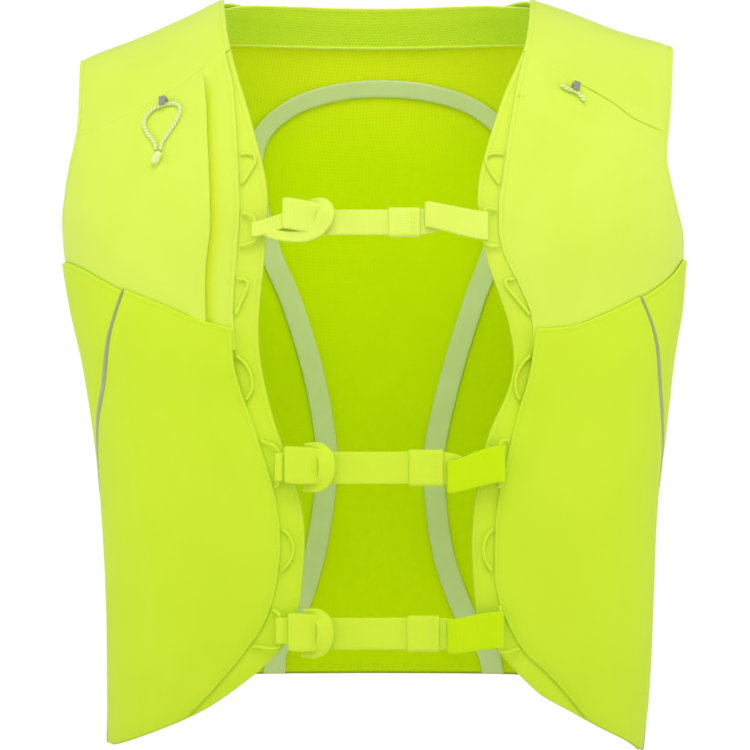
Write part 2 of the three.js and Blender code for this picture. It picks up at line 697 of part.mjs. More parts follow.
// How far the lower pocket stands off the chest pocket at a share of the way down
function pocketStandOff(down) {
  return POCKET_STAND_OFF * (1 - THREE.MathUtils.smoothstep(down, POCKET_SETTLING.from, POCKET_SETTLING.to));
}

function makeLowerPocket(side) {
  const outline = OUTLINES[side.name];
  const away = -side.sign * PIPING_CLEARANCE;
  const start = outlineEdge(side, outline.lowerEdge, OUTER_FACE);
  const end = shiftEdge(outlineEdge(side, outline.piping, OUTER_FACE), away);
  const opening = outlineEdge(side, outline.pocketOpening, OUTER_FACE);
  const top = smoothEdge([start(0), opening(0.3), opening(0.65), end(0)]);
  const hem = outlineEdge(side, outline.hem, OUTER_FACE);
  const inset = shiftEdge(hem, 0, -LOWER_HEM_INSET);
  const middle = (shareAtGirth(hem, start(1).x) + shareAtGirth(hem, end(1).x)) / 2;
  const bottom = smoothEdge([start(1), inset(middle), end(1)]);
  const grid = fillPatch({ top, bottom, start, end }, PIPING_STEPS, LOWER_COLUMNS, pocketStandOff);
  addPiece(`lower_pocket_${side.name}`, "shell", clothWall(grid, OUTER_LIFT, OUTER_FACE));
}

function makeSidePanel(side) {
  const outline = OUTLINES[side.name];
  const away = side.sign * PIPING_CLEARANCE;
  const start = shiftEdge(outlineEdge(side, outline.piping, OUTER_FACE), away);
  const opening = outlineEdge(side, outline.sideOpening, OUTER_FACE);
  const hem = outlineEdge(side, outline.hem, OUTER_FACE);
  const inset = shiftEdge(hem, -side.sign * SIDE_SEAM_INSET, -SIDE_HEM_INSET);
  const end = smoothEdge([opening(1), inset(1)]);
  const top = smoothEdge([start(0), opening(0.3), opening(0.55), opening(0.8), end(0)]);
  const bottom = smoothEdge([start(1), end(1)]);
  const grid = fillPatch({ top, bottom, start, end }, PIPING_STEPS, SIDE_COLUMNS, pocketStandOff);
  addPiece(`side_panel_${side.name}`, "shell", clothWall(grid, OUTER_LIFT, OUTER_FACE));
}

function makePiping(side) {
  const edge = outlineEdge(side, OUTLINES[side.name].piping, OUTER_FACE);
  const frames = Array.from({ length: PIPING_STEPS + 1 }, (unused, index) => {
    const down = index / PIPING_STEPS;
    const frame = bodyFrame(edge(down));
    frame.point.addScaledVector(frame.normal, pocketStandOff(down));
    return frame;
  });
  const grid = fillRibbon(frames, PIPING_WIDTH);
  addPiece(`side_piping_${side.name}`, "reflective", clothWall(grid, OUTER_LIFT, OUTER_LIFT + PIPING_WALL));
}

// Cord loops and the straps hooked on them

function pocketEdgeX(side, z) {
  const outline = OUTLINES[side.name];
  return column([...outline.chestEdge, ...outline.lowerEdge.slice(1)], "z", "x", z);
}

function openEdgeX(side, z) {
  return column(OUTLINES[side.name].openEdge, "z", "x", z);
}

function strapDepth(strap) {
  const edgePoint = (side) => bodyPoint(spotOf(side, { x: openEdgeX(side, strap.z), z: strap.z }));
  const depths = SIDES.map((side) => edgePoint(side).y);
  return Math.min(...depths) - STRAP_STAND_OFF;
}

function liftedPoint(side, x, z, lift) {
  const frame = bodyFrame(spotOf(side, { x, z }, lift));
  return frame.point.addScaledVector(frame.normal, lift);
}

// Points of one cord loop, from its upper end round to its lower end; a hooked loop is drawn out to its strap
function loopPoints(side, number) {
  const loop = LOOPS[number - 1];
  const strap = STRAPS.find((candidate) => candidate.loop === number);
  const lift = PANEL_WALL + LOOP_CLEARANCE + LOOP_DIAMETER / 2;
  const middle = (loop.top + loop.bottom) / 2;
  const reachX = pocketEdgeX(side, middle) - loop[side.name];
  const spread = LOOP_SPREAD * (loop.top - loop.bottom);
  const endAt = (z) => liftedPoint(side, pocketEdgeX(side, z) - LOOP_TUCK, z, lift);
  const turns = [spread, -spread].map((rise) => liftedPoint(side, reachX, middle + rise, lift));
  if (strap) turns.forEach((point) => point.setY(strapDepth(strap)));
  return [endAt(loop.top), ...turns, endAt(loop.bottom)];
}

function makeLoop(side, number) {
  const geometry = cordGeometry(loopPoints(side, number), LOOP_DIAMETER, LOOP_FACETS, LOOP_STEPS);
  addPiece(`edge_loop_${side.name}_${number}`, "shell", geometry);
}

// Middle of the hooked loop, where the strap turns round it
function hookPoint(side, number) {
  return cordPath(loopPoints(side, number)).getPoint(0.5);
}

// Strap webbing along a path of stations, each with its place in plan, middle height and width
function webbing(stations) {
  const last = stations.length - 1;
  const grid = stations.map((station, step) => {
    const ahead = stations[Math.min(step + 1, last)];
    const behind = stations[Math.max(step - 1, 0)];
    const normal = new THREE.Vector3(ahead.y - behind.y, behind.x - ahead.x, 0).normalize();
    const edgeFrame = (way) => ({
      point: new THREE.Vector3(station.x, station.y, station.z + (way * station.height) / 2),
      normal,
      lift: 0,
    });
    return [edgeFrame(1), edgeFrame(-1)];
  });
  return clothWall(grid, -STRAP_WALL / 2, STRAP_WALL / 2);
}

// Half-round turn of webbing around a hooked cord, from the front leg to the back leg
function hookBend(side, centre) {
  const steps = 6;
  return Array.from({ length: steps + 1 }, (unused, index) => {
    const angle = Math.PI * (index / steps - 0.5);
    return {
      x: centre.x + side.sign * HOOK_BEND * Math.cos(angle),
      y: centre.y + HOOK_BEND * Math.sin(angle),
      z: centre.z,
      height: HOOK_HEIGHT,
    };
  });
}

// Flat ring of webbing around the strap, between two x
function makeRing(name, strap, [start, end], bulge) {
  const clearHeight = strap.height + 2 * RING_CLEARANCE;
  const clearDepth = STRAP_WALL + 2 * RING_CLEARANCE;
  const outline = (height, depth, radius) => {
    const shape = new THREE.Shape();
    shape.moveTo(-height / 2 + radius, -depth / 2);
    shape.lineTo(height / 2 - radius, -depth / 2);
    shape.absarc(height / 2 - radius, 0, depth / 2, -Math.PI / 2, Math.PI / 2, false);
    shape.lineTo(-height / 2 + radius, depth / 2);
    shape.absarc(-height / 2 + radius, 0, depth / 2, Math.PI / 2, 1.5 * Math.PI, false);
    return shape;
  };
  const outerDepth = clearDepth + 2 * RING_WALL;
  const shape = outline(clearHeight + 2 * RING_WALL + bulge, outerDepth, outerDepth / 2);
  shape.holes.push(outline(clearHeight + clearDepth / 2, clearDepth, clearDepth / 2));
  const geometry = new THREE.ExtrudeGeometry(shape, {
    depth: end - start, steps: 1, bevelEnabled: false, curveSegments: 4,
  });
  geometry.rotateY(Math.PI / 2);
  const ring = addPiece(name, "elastic", geometry);
  ring.position.set(start, strapDepth(strap), strap.z);
}

function makeStrap(strap) {
  const [left, right] = SIDES;
  const depth = strapDepth(strap);
  const name = (piece) => `strap_${strap.name}_${piece}`;
  const leftHook = hookPoint(left, strap.loop);
  const rightHook = hookPoint(right, strap.loop);
  const station = (x, y, z, height) => ({ x, y, z, height });
  const frontLeg = depth - HOOK_BEND;
  const [keeperStart] = strap.keeper;
  const [, sleeveEnd] = strap.sleeve;
  const bandStart = keeperStart + BAND_TUCK;
  const bandEnd = sleeveEnd - SLEEVE_TUCK;
  const leftMiddle = (strap.z + leftHook.z) / 2;
  const rightMiddle = (strap.z + rightHook.z) / 2;

  addPiece(name("fold_left"), "elastic", webbing([
    station(keeperStart - SEAM_GAP, frontLeg, strap.z, strap.height),
    station(leftHook.x + HOOK_TAPER.front, frontLeg, leftMiddle, strap.height),
    ...hookBend(left, leftHook),
    station(leftHook.x + HOOK_TAPER.back, depth + 1, leftMiddle, strap.height - HOOK_TAPER.narrowing),
    station(keeperStart - 2, depth, strap.z, strap.height),
    station(bandStart - SEAM_GAP, depth, strap.z, strap.height),
  ]));
  makeRing(name("keeper_left"), strap, strap.keeper, KEEPER_BULGE);
  addPiece(name("band"), "elastic", webbing([
    station(bandStart, depth, strap.z, strap.height),
    station(bandEnd, depth, strap.z, strap.height),
  ]));
  makeRing(name("sleeve_right"), strap, strap.sleeve, 0);
  const returnHeight = strap.height - TAB_TAPER.returnNarrowing;
  addPiece(name("tab_right"), "elastic", webbing([
    station(bandEnd + SEAM_GAP, depth, strap.z, strap.height),
    station(sleeveEnd + 1, depth, strap.z, strap.height),
    station(sleeveEnd + TAB_TAPER.flare, depth - 0.6, strap.z, strap.tabHeight),
    station(rightHook.x - TAB_TAPER.front, frontLeg, rightMiddle, strap.tabHeight - TAB_TAPER.narrowing),
    ...hookBend(right, rightHook),
    station(rightHook.x - TAB_TAPER.back, depth + 1.4, rightHook.z, returnHeight),
    station(rightHook.x - TAB_TAPER.returnLength, depth + 0.2, rightHook.z, returnHeight),
  ]));
}

// Zip pulls and the cord loop

// Group lying on the cloth: local X level, local Y up along the cloth, local Z out of it
function groupOnCloth(side, row, lift, lean) {
  const frame = bodyFrame(spotOf(side, row, lift));
  const level = new THREE.Vector3(0, 0, 1).cross(frame.normal).normalize();
  const up = frame.normal.clone().cross(level);
  const group = new THREE.Group();
  group.setRotationFromMatrix(new THREE.Matrix4().makeBasis(level, up, frame.normal));
  group.rotateZ(THREE.MathUtils.degToRad(lean));
  group.position.copy(frame.point).addScaledVector(frame.normal, lift);
  model.add(group);
  return group;
}

function makePuller(puller) {
  const side = SIDES.find((candidate) => candidate.name === puller.side);
  const group = groupOnCloth(side, puller, OUTER_FACE + SEAM_GAP, puller.lean);
  const block = ZIP_CORD_DIAMETER + 2 * SEAM_GAP;
  const profile = new THREE.Shape();
  profile.moveTo(0, 0);
  profile.lineTo(PULLER_HEAD, 0);
  profile.lineTo(PULLER_HEAD, block + PULLER_PLATE);
  profile.lineTo(-PULLER_REACH, block + PULLER_PLATE);
  profile.lineTo(-PULLER_REACH, block);
  profile.lineTo(0, block);
  const geometry = new THREE.ExtrudeGeometry(profile, { depth: PULLER_WIDTH, steps: 1, bevelEnabled: false });
  geometry.translate(0, 0, -PULLER_WIDTH / 2);
  geometry.rotateX(Math.PI / 2);
  geometry.rotateZ(Math.PI / 2);
  addPiece(`zip_puller_${side.name}`, "puller", geometry, group);
}

function makeZipCord() {
  const [left] = SIDES;
  const lift = OUTER_FACE + SEAM_GAP + ZIP_CORD_DIAMETER / 2;
  const route = ZIP_CORD_ROUTE.map((row) => liftedPoint(left, row.x, row.z, lift));
  addPiece("zip_cord_left", "cord", cordGeometry(route, ZIP_CORD_DIAMETER, CORD_FACETS, CORD_STEPS));

  const { length, radius } = CORD_TIP;
  const profile = [
    [0, -length / 2], [radius * 0.7, -length / 2], [radius, -length / 4], [radius, length / 4],
    [radius * 0.85, length / 2], [0, length / 2],
  ].map(([across, along]) => new THREE.Vector2(across, along));
  const group = groupOnCloth(left, CORD_TIP, OUTER_FACE + SEAM_GAP + radius, -CORD_TIP.lean);
  addPiece("zip_cord_tip_left", "cord", new THREE.LatheGeometry(profile, 10), group);
}

makeBack();
makeTape();
for (const side of SIDES) {
  makeFrontPanel(side);
  makeYoke(side);
  makeZip(side);
  makeChestPocket(side);
  makeLowerPocket(side);
  makeSidePanel(side);
  makePiping(side);
  LOOPS.forEach((loop, index) => makeLoop(side, index + 1));
}
STRAPS.forEach(makeStrap);
PULLERS.forEach(makePuller);
makeZipCord();

export default model;
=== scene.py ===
"""Running vest in its worn form: cloth, webbing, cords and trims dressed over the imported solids."""
import math

import bmesh
import bpy
import numpy as np
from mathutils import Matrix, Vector


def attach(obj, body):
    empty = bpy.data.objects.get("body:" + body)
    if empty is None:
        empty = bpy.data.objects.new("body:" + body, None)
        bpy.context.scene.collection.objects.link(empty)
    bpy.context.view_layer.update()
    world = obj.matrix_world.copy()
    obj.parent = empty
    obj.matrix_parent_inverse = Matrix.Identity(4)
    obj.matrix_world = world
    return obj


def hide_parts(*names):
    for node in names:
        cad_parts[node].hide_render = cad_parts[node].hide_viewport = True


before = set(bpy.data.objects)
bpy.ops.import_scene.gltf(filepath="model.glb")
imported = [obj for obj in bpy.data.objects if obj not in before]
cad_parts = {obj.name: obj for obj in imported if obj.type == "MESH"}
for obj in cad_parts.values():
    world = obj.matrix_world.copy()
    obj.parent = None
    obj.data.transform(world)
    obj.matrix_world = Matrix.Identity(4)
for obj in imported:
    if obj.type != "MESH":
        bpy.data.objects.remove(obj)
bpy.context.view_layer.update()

MM = 0.001
UV_PER_MM = 0.01
UP = np.array([0.0, 0.0, 1.0])
LEVEL = np.array([1.0, 0.0, 0.0])
AHEAD = np.array([0.0, -1.0, 0.0])


def add_object(name, data):
    """New object in the scene, at the origin."""
    thing = bpy.data.objects.new(name, data)
    bpy.context.collection.objects.link(thing)
    return thing


def feed(tree, socket, value):
    """Sets an input to a value, or joins it where the value is another socket."""
    if isinstance(value, bpy.types.NodeSocket):
        tree.links.new(value, socket)
    else:
        socket.default_value = value


def place_node(tree, kind, inputs=None, **settings):
    """Node with its settings, and its inputs set to values or joined to sockets."""
    node = tree.nodes.new(kind)
    for name, value in settings.items():
        setattr(node, name, value)
    for name, value in (inputs or {}).items():
        feed(tree, node.inputs[name], value)
    return node


# Camera, light and stage, with lengths in metres

VIEW_DISTANCE = 1.8
VIEW_HEIGHT = -0.2325
VIEW_WIDTH = 0.46875
SENSOR = 36.0
WORLD_STOPS = [(0.24, 0.34), (0.31, 1.0), (0.62, 1.0), (0.72, 0.5)]
SIDE_SOFTBOX = {"target": (0, 0, -0.2), "size": 0.8, "power": 2.2}
LIGHTS = {
    "overhead softbox": {"place": (0, -1.0, 0.95), "target": (0, 0, -0.12), "size": 1.0, "power": 8.2},
    "left softbox": {"place": (-1.3, -0.3, 0.05), **SIDE_SOFTBOX},
    "right softbox": {"place": (1.3, -0.3, 0.05), **SIDE_SOFTBOX},
}
FLOOR_HEIGHT = -0.6
FLOOR_RADIUS = 0.95
FLOOR_SIDES = 96
FLOOR_PAINT = {"Base Color": (0.86, 0.86, 0.85, 1), "Roughness": 0.9}


def make_camera():
    camera = add_object("camera", bpy.data.cameras.new("camera"))
    camera.location = (0, -VIEW_DISTANCE, VIEW_HEIGHT)
    camera.rotation_euler = (math.pi / 2, 0, 0)
    camera.data.sensor_width = SENSOR
    camera.data.lens = SENSOR * VIEW_DISTANCE / VIEW_WIDTH
    bpy.context.scene.camera = camera


def make_light(name, place, target, size, power):
    light = bpy.data.lights.new(name, "AREA")
    light.shape = "DISK"
    light.size = size
    light.energy = power
    lamp = add_object(name, light)
    lamp.location = place
    lamp.rotation_euler = (Vector(target) - Vector(place)).to_track_quat("-Z", "Y").to_euler()


def make_world():
    """White studio that is dimmer from below and from overhead."""
    world = bpy.data.worlds.new("white studio")
    world.use_nodes = True
    tree = world.node_tree
    direction = place_node(tree, "ShaderNodeTexCoord").outputs["Generated"]
    upright = place_node(tree, "ShaderNodeSeparateXYZ", {0: direction}).outputs["Z"]
    height = place_node(tree, "ShaderNodeMapRange", {"Value": upright, "From Min": -1}).outputs["Result"]
    dimmer = place_node(tree, "ShaderNodeValToRGB", {"Fac": height})
    for _ in range(len(WORLD_STOPS) - 2):
        dimmer.color_ramp.elements.new(0.5)
    for stop, (place, grey) in zip(dimmer.color_ramp.elements, WORLD_STOPS):
        stop.position = place
        stop.color = (grey, grey, grey, 1)
    feed(tree, tree.nodes["Background"].inputs["Color"], dimmer.outputs["Color"])
    bpy.context.scene.world = world
    bpy.context.scene.view_settings.view_transform = "Standard"


def make_floor():
    mesh = bpy.data.meshes.new("studio_floor")
    shape = bmesh.new()
    bmesh.ops.create_circle(shape, cap_ends=True, segments=FLOOR_SIDES, radius=FLOOR_RADIUS)
    bmesh.ops.translate(shape, vec=(0, 0, FLOOR_HEIGHT), verts=shape.verts)
    shape.to_mesh(mesh)
    shape.free()
    paint = bpy.data.materials.new("studio_floor")
    paint.use_nodes = True
    for name, value in FLOOR_PAINT.items():
        paint.node_tree.nodes["Principled BSDF"].inputs[name].default_value = value
    mesh.materials.append(paint)
    add_object("studio_floor", mesh)


make_camera()
make_world()
for light_name, light_row in LIGHTS.items():
    make_light(light_name, **light_row)
make_floor()

# Cloth layers, the same as in the solids, in millimetres

PANEL_WALL = 1.5
POCKET_WALL = 1.2
TRIM_WALL = 1.0
LAYER_GAP = 0.9
INSIDE_GAP = 1.5
SEAM_GAP = 0.4
OUTER_LIFT = PANEL_WALL + LAYER_GAP
OUTER_FACE = OUTER_LIFT + POCKET_WALL

# Worn body: boxy ovals that close in over the shoulders

SQUARENESS = 2.6
SHOULDER_ROLL = 40
FRONT_DROP = 150
BACK_DROP = 110
SHOULDER_WIDTH = 191
SIDE_SEAM_TURN = 102
PATTERN_PER_DEGREE = 2.6
AIM_ROUNDS = 6
SIDES = {"left": -1, "right": 1}


def named_table(names, rows):
    """Columns of a table of numbers, by name."""
    return dict(zip(names.split(), np.array(rows, float).T))


SECTIONS = named_table("z left right front back", [
    (60, 191, 190, 98, 92),
    (-40, 191.5, 190, 102, 97),
    (-129, 192, 190, 108, 101),
    (-160, 189, 188, 109.5, 100),
    (-200, 182.6, 184.5, 109, 97),
    (-267, 171.6, 177.6, 107, 93),
    (-312, 167, 172.2, 104, 91),
    (-373, 163, 168.6, 100, 90),
    (-430, 162.9, 166.7, 97, 90),
    (-475, 163.4, 162.2, 95, 90),
])
SHOULDER_LINE = named_table("x left right", [
    (0, 35, 35),
    (40, 27, 27),
    (70, 12, 12),
    (97, -2.8, -1),
    (116, -12.8, -8.4),
    (150, -27, -21),
    (184, -40, -30),
    (200, -46, -35),
])


def at(x, z, back=False):
    """Row of an outline, by its distance from the middle and its height."""
    return {"x": x, "z": z, "back": back}


def wrap(turn, z):
    """Row of an outline, by its angle round the body from the front and its height."""
    return {"turn": turn, "z": z}


OUTLINES = {
    "left": {
        "open_edge": [
            at(96, 2), at(89, -31), at(74, -82), at(64, -123), at(65, -158), at(69, -212), at(61, -256),
            at(46, -300), at(42, -333), at(47, -380), at(55, -394), at(69, -408),
        ],
        "hem": [
            at(69, -408), at(88, -422.5), at(111, -436.5), at(140, -449.5), wrap(84, -460),
            wrap(102, -458),
        ],
        "armhole": [
            at(184, -36), at(182.5, -60), at(183, -83), at(188, -106), at(191.5, -125),
            wrap(84, -144), wrap(92, -159), wrap(102, -165),
        ],
        "zip": [at(91, -36), at(108, -51), at(128, -64), at(153, -76), at(179, -86)],
        "chest_edge": [at(88, -42), at(83, -82), at(80, -138), at(83, -174), at(84, -205)],
        "lower_edge": [
            at(84, -205), at(82, -232), at(69, -271), at(60, -300), at(56, -331), at(59, -359),
            at(65, -378), at(73, -391), at(89.8, -412), at(112.5, -436.6),
        ],
        "pocket_opening": [at(84, -205), at(100, -201), at(125, -191), at(149, -182)],
        "side_opening": [at(149, -182), at(173, -170), wrap(78, -163), wrap(90, -164), wrap(101, -169)],
        "piping": [
            at(149, -182), at(157, -205), at(164.6, -239), at(169.5, -260), wrap(79.5, -282),
            wrap(87.5, -312), wrap(91.5, -345), wrap(92, -380), wrap(89.5, -420), wrap(84.4, -459.4),
        ],
    },
    "right": {
        "open_edge": [
            at(98, 2), at(92, -30), at(75, -72), at(61, -123), at(66, -163), at(80, -206), at(81, -235),
            at(66, -273), at(58, -322), at(60, -370), at(66, -388), at(86, -408),
        ],
        "hem": [
            at(86, -408), at(98, -422), at(121, -435.5), at(148, -451), wrap(84, -464), wrap(102, -460),
        ],
        "armhole": [
            at(186, -26), at(183.5, -50), at(181, -74), at(178, -102), at(184.5, -130),
            wrap(82, -150), wrap(92, -162), wrap(102, -167),
        ],
        "zip": [at(91, -36), at(104, -45), at(122, -57), at(137, -63), at(155, -76), at(178, -85)],
        "chest_edge": [
            at(89, -42), at(84, -66), at(78, -100), at(73, -136), at(74, -155), at(83, -174),
            at(95, -205),
        ],
        "lower_edge": [
            at(95, -205), at(91, -232), at(84, -258), at(74, -300), at(71, -331), at(72, -359),
            at(79, -380), at(89.8, -397.6), at(106, -413.2), at(127, -438.2),
        ],
        "pocket_opening": [at(95, -205), at(112, -205), at(133, -197), at(158, -186)],
        "side_opening": [at(158, -186), at(176, -175), wrap(78, -162), wrap(90, -165), wrap(101, -171)],
        "piping": [
            at(158, -186), at(166, -205), at(172.4, -232), at(176, -259), wrap(80.6, -284),
            wrap(88.6, -314), wrap(92.4, -348), wrap(92.6, -384), wrap(89.6, -424), wrap(83.5, -463.4),
        ],
    },
}
SLOT_LINE = [at(103, -55), at(101, -79), at(98, -140), at(101, -176), at(100, -210)]

NECK_HALF_WIDTH = 96
FACING_HALF_WIDTH = 101
NECKLINE = named_table("x z", [(0, 4), (60, 3), (NECK_HALF_WIDTH, -2), (110, -4)])
FACING_FOOT = named_table("x z", [(0, -19), (60, -19), (NECK_HALF_WIDTH, -20), (110, -20.5)])
NECK_PLACES = np.array([1, 0.84, 0.68, 0.52, 0.38, 0.26, 0.17, 0.1, 0.05, 0.02])
BACK_ARMHOLE = [wrap(102, -166), wrap(109, -150), at(183, -112, True), at(179, -76, True)]
BACK_HEM = named_table("turn z", [
    (102, -459), (114, -448), (126, -434), (140, -428.5), (180, -427.5),
])
BACK_HEM_STEP = 2
HEM_FINE_STEP = 0.2
HEM_SHIFT_REACH = 45
TAPE_WIDTHS = named_table("z width", [(-130, 13.5), (-82, 11.3), (-40, 11.1)])
TAPE_CROWN = (4, -44.1)
TAPE_ARMS = named_table("z left right", [
    (-47, 27, 36),
    (-56.8, 55.2, 65.2),
    (-76, 75.5, 86),
    (-105, 80, 89),
    (-150, 69.5, 78),
    (-185, 55, 65),
    (-232, 40.5, 50.5),
    (-280, 32, 39.5),
    (-310, 33, 39.5),
    (-350, 39.5, 45),
    (-388, 51.5, 58.5),
    (-412, 64, 73.3),
    (-424, 65.8, 76.8),
    (-436, 67.2, 78.6),
])
TAPE_FOOT = -427.2
TAPE_ROWS = 300
TAPE_COLUMNS = 13
TAPE_BEVEL = {"depth": 0.35, "width": 1.2}
SHARE_OF_ARMHOLE = 8 / 21


def hermite(start, end, slope_in, slope_out, share):
    """Smooth curve from start to end, with the slope that it has at each."""
    return (
        (2 * start - 2 * end + slope_in + slope_out) * share ** 3
        + (3 * end - 3 * start - 2 * slope_in - slope_out) * share ** 2
        + slope_in * share
        + start
    )


def smooth_value(table, key, name, place):
    """Smooth value of one column of a table at a place along its key column."""
    keys, values = table[key], table[name]
    if keys[0] > keys[-1]:
        keys, values = keys[::-1], values[::-1]
    place = np.asarray(place, float)
    last = len(keys) - 1
    row = np.clip(np.searchsorted(keys, place) - 1, 0, last - 1)
    before = np.maximum(row - 1, 0)
    after = np.minimum(row + 2, last)
    span = keys[row + 1] - keys[row]
    share = np.clip((place - keys[row]) / span, 0, 1)
    slope_in = (values[row + 1] - values[before]) / (keys[row + 1] - keys[before])
    slope_out = (values[after] - values[row]) / (keys[after] - keys[row])
    return hermite(values[row], values[row + 1], span * slope_in, span * slope_out, share)


def ease(low, high, value):
    """Smooth step from 0 at low to 1 at high."""
    share = np.clip((value - low) / (high - low), 0, 1)
    return share * share * (3 - 2 * share)


def body_points(spots):
    """Points of the body surface at spots of pattern girth and length down from the shoulder line."""
    angle = spots[..., 0] / PATTERN_PER_DEGREE
    is_right = angle <= 180
    turn = np.radians(np.where(is_right, angle, 360 - angle))
    across = np.abs(np.sin(turn)) ** (2 / SQUARENESS)
    depth = np.abs(np.cos(turn)) ** (2 / SQUARENESS)
    drop = np.hypot(spots[..., 1], SHOULDER_ROLL) - SHOULDER_ROLL

    def of_side(table, key, place):
        right = smooth_value(table, key, "right", place)
        return np.where(is_right, right, smooth_value(table, key, "left", place))

    z = of_side(SHOULDER_LINE, "x", across * SHOULDER_WIDTH) - drop
    is_front = np.cos(turn) > 0
    full = np.minimum(drop / np.where(is_front, FRONT_DROP, BACK_DROP), 1)
    dome = np.sign(spots[..., 1]) * np.sqrt(1 - (1 - full) ** 2)
    front = smooth_value(SECTIONS, "z", "front", z)
    reach = np.where(is_front, -front, smooth_value(SECTIONS, "z", "back", z))
    x = np.where(is_right, 1, -1) * across * of_side(SECTIONS, "z", z)
    return np.stack([x, reach * depth * dome, z], -1)


def unit(vectors):
    """Vectors brought to length 1."""
    return vectors / np.maximum(np.linalg.norm(vectors, axis=-1, keepdims=True), 1e-9)


def run_lengths(points, axis=0):
    """Distance along a path, or along each line of a grid, to each of its points."""
    steps = np.linalg.norm(np.diff(points, axis=axis), axis=-1)
    start = np.zeros_like(np.take(steps, [0], axis))
    return np.concatenate([start, np.cumsum(steps, axis=axis)], axis)


def body_normals(spots):
    """Normals of the body surface, pointing away from the wearer."""
    girth = np.array([1.0, 0.0])
    length = np.array([0.0, 1.0])
    down = body_points(spots + length) - body_points(spots - length)
    round_body = body_points(spots + girth) - body_points(spots - girth)
    return unit(np.cross(down, round_body))


def lifted(spots, lift):
    """Points at a lift off the body surface, along its normals."""
    return body_points(spots) + lift * body_normals(spots)


def spot_at(side, row):
    """Spot on the body surface itself at a row of an outline."""
    turn = row.get("turn")
    if turn is None:
        share = max(row["x"], 0) / float(smooth_value(SECTIONS, "z", side, row["z"]))
        turn = math.degrees(math.asin(min(share, 1) ** (SQUARENESS / 2)))
        if row.get("back"):
            turn = 180 - turn
    across = math.sin(math.radians(turn)) ** (2 / SQUARENESS)
    drop = float(smooth_value(SHOULDER_LINE, "x", side, across * SHOULDER_WIDTH)) - row["z"]
    reach = max(drop, 0) + SHOULDER_ROLL
    angle = turn if SIDES[side] > 0 else 360 - turn
    return np.array([angle * PATTERN_PER_DEGREE, math.sqrt(reach ** 2 - SHOULDER_ROLL ** 2)])


def spot_of(side, row, lift=0.0):
    """Spot from which a lift along the normal ends at a row of an outline."""
    if lift == 0 or "turn" in row:
        return spot_at(side, row)
    aim = dict(row)
    for _ in range(AIM_ROUNDS):
        x, _y, z = lifted(spot_at(side, aim), lift)
        aim["x"] += row["x"] - SIDES[side] * x
        aim["z"] += row["z"] - z
    return spot_at(side, aim)


# Edges: functions from shares of the way along to spots

EDGE_STEPS = 401


def smooth_edge(spots):
    """Smooth edge through spots, with shares that are even along its length."""
    knots = np.array(spots, float)
    last = len(knots) - 1

    def point(place):
        row = np.minimum((place * last).astype(int), last - 1)
        start, end = knots[row], knots[row + 1]
        slope_in = (end - knots[np.maximum(row - 1, 0)]) / 2
        slope_out = (knots[np.minimum(row + 2, last)] - start) / 2
        return hermite(start, end, slope_in, slope_out, (place * last - row)[..., None])

    places = np.linspace(0, 1, EDGE_STEPS)
    runs = run_lengths(point(places))

    def edge(shares):
        return point(np.interp(np.asarray(shares, float) * runs[-1], runs, places))

    return edge


def outline_edge(side, rows, lift=0.0):
    """Smooth edge through rows of an outline."""
    return smooth_edge([spot_of(side, row, lift) for row in rows])


def chain_edges(first, second, join):
    """Two edges one after the other, which meet at the share join."""

    def edge(shares):
        shares = np.asarray(shares, float)
        before = first(np.clip(shares / join, 0, 1))
        after = second(np.clip((shares - join) / (1 - join), 0, 1))
        return np.where((shares <= join)[..., None], before, after)

    return edge


def shift_edge(edge, girth, length=0.0):
    return lambda shares: edge(shares) + np.array([girth, length], float)


def part_of_edge(edge, start, end):
    return lambda shares: edge(start + np.asarray(shares, float) * (end - start))


def below_seam(edge):
    """Edge kept off the shoulder line, where front and back meet."""

    def kept(shares):
        spots = edge(shares).copy()
        spots[..., 1] = np.maximum(spots[..., 1], SEAM_GAP / 2)
        return spots

    return kept


def one(edge, share):
    """Spot at one share of the way along an edge."""
    return edge(np.array(float(share)))


def first_share(edge, is_reached):
    """First share of the way along an edge at which its spot has got there, or else the whole way."""
    shares = np.linspace(0, 1, EDGE_STEPS)
    reached = is_reached(edge(shares))
    return shares[np.argmax(reached)] if reached.any() else 1.0


def share_at_length(edge, length):
    return first_share(edge, lambda spots: spots[:, 1] >= length)


def share_at_girth(edge, girth):
    return first_share(
        edge, lambda spots: np.abs(spots[:, 0] - spots[0, 0]) >= abs(girth - spots[0, 0]))


# Cloth: a grid of points and normals with its distances from the four edges

HEM_ROWS = np.array([0, 0.35, 0.9, 1.6, 2.4, 3.2, 4.2, 5.5, 7.5])
NARROW_CLOTH = 2.4 * HEM_ROWS[-1]
NARROW_ROWS = 13
ROUGH_ROWS = 41


def graded_shares(length, step):
    """Even shares along a cloth, with closer rows by both hems."""
    if length < NARROW_CLOTH:
        return np.linspace(0, 1, NARROW_ROWS)
    count = max(int((length - 2 * HEM_ROWS[-1]) / step), 2)
    middle = np.linspace(HEM_ROWS[-1], length - HEM_ROWS[-1], count + 1)
    return np.concatenate([HEM_ROWS[:-1], middle, (length - HEM_ROWS[:-1])[::-1]]) / length


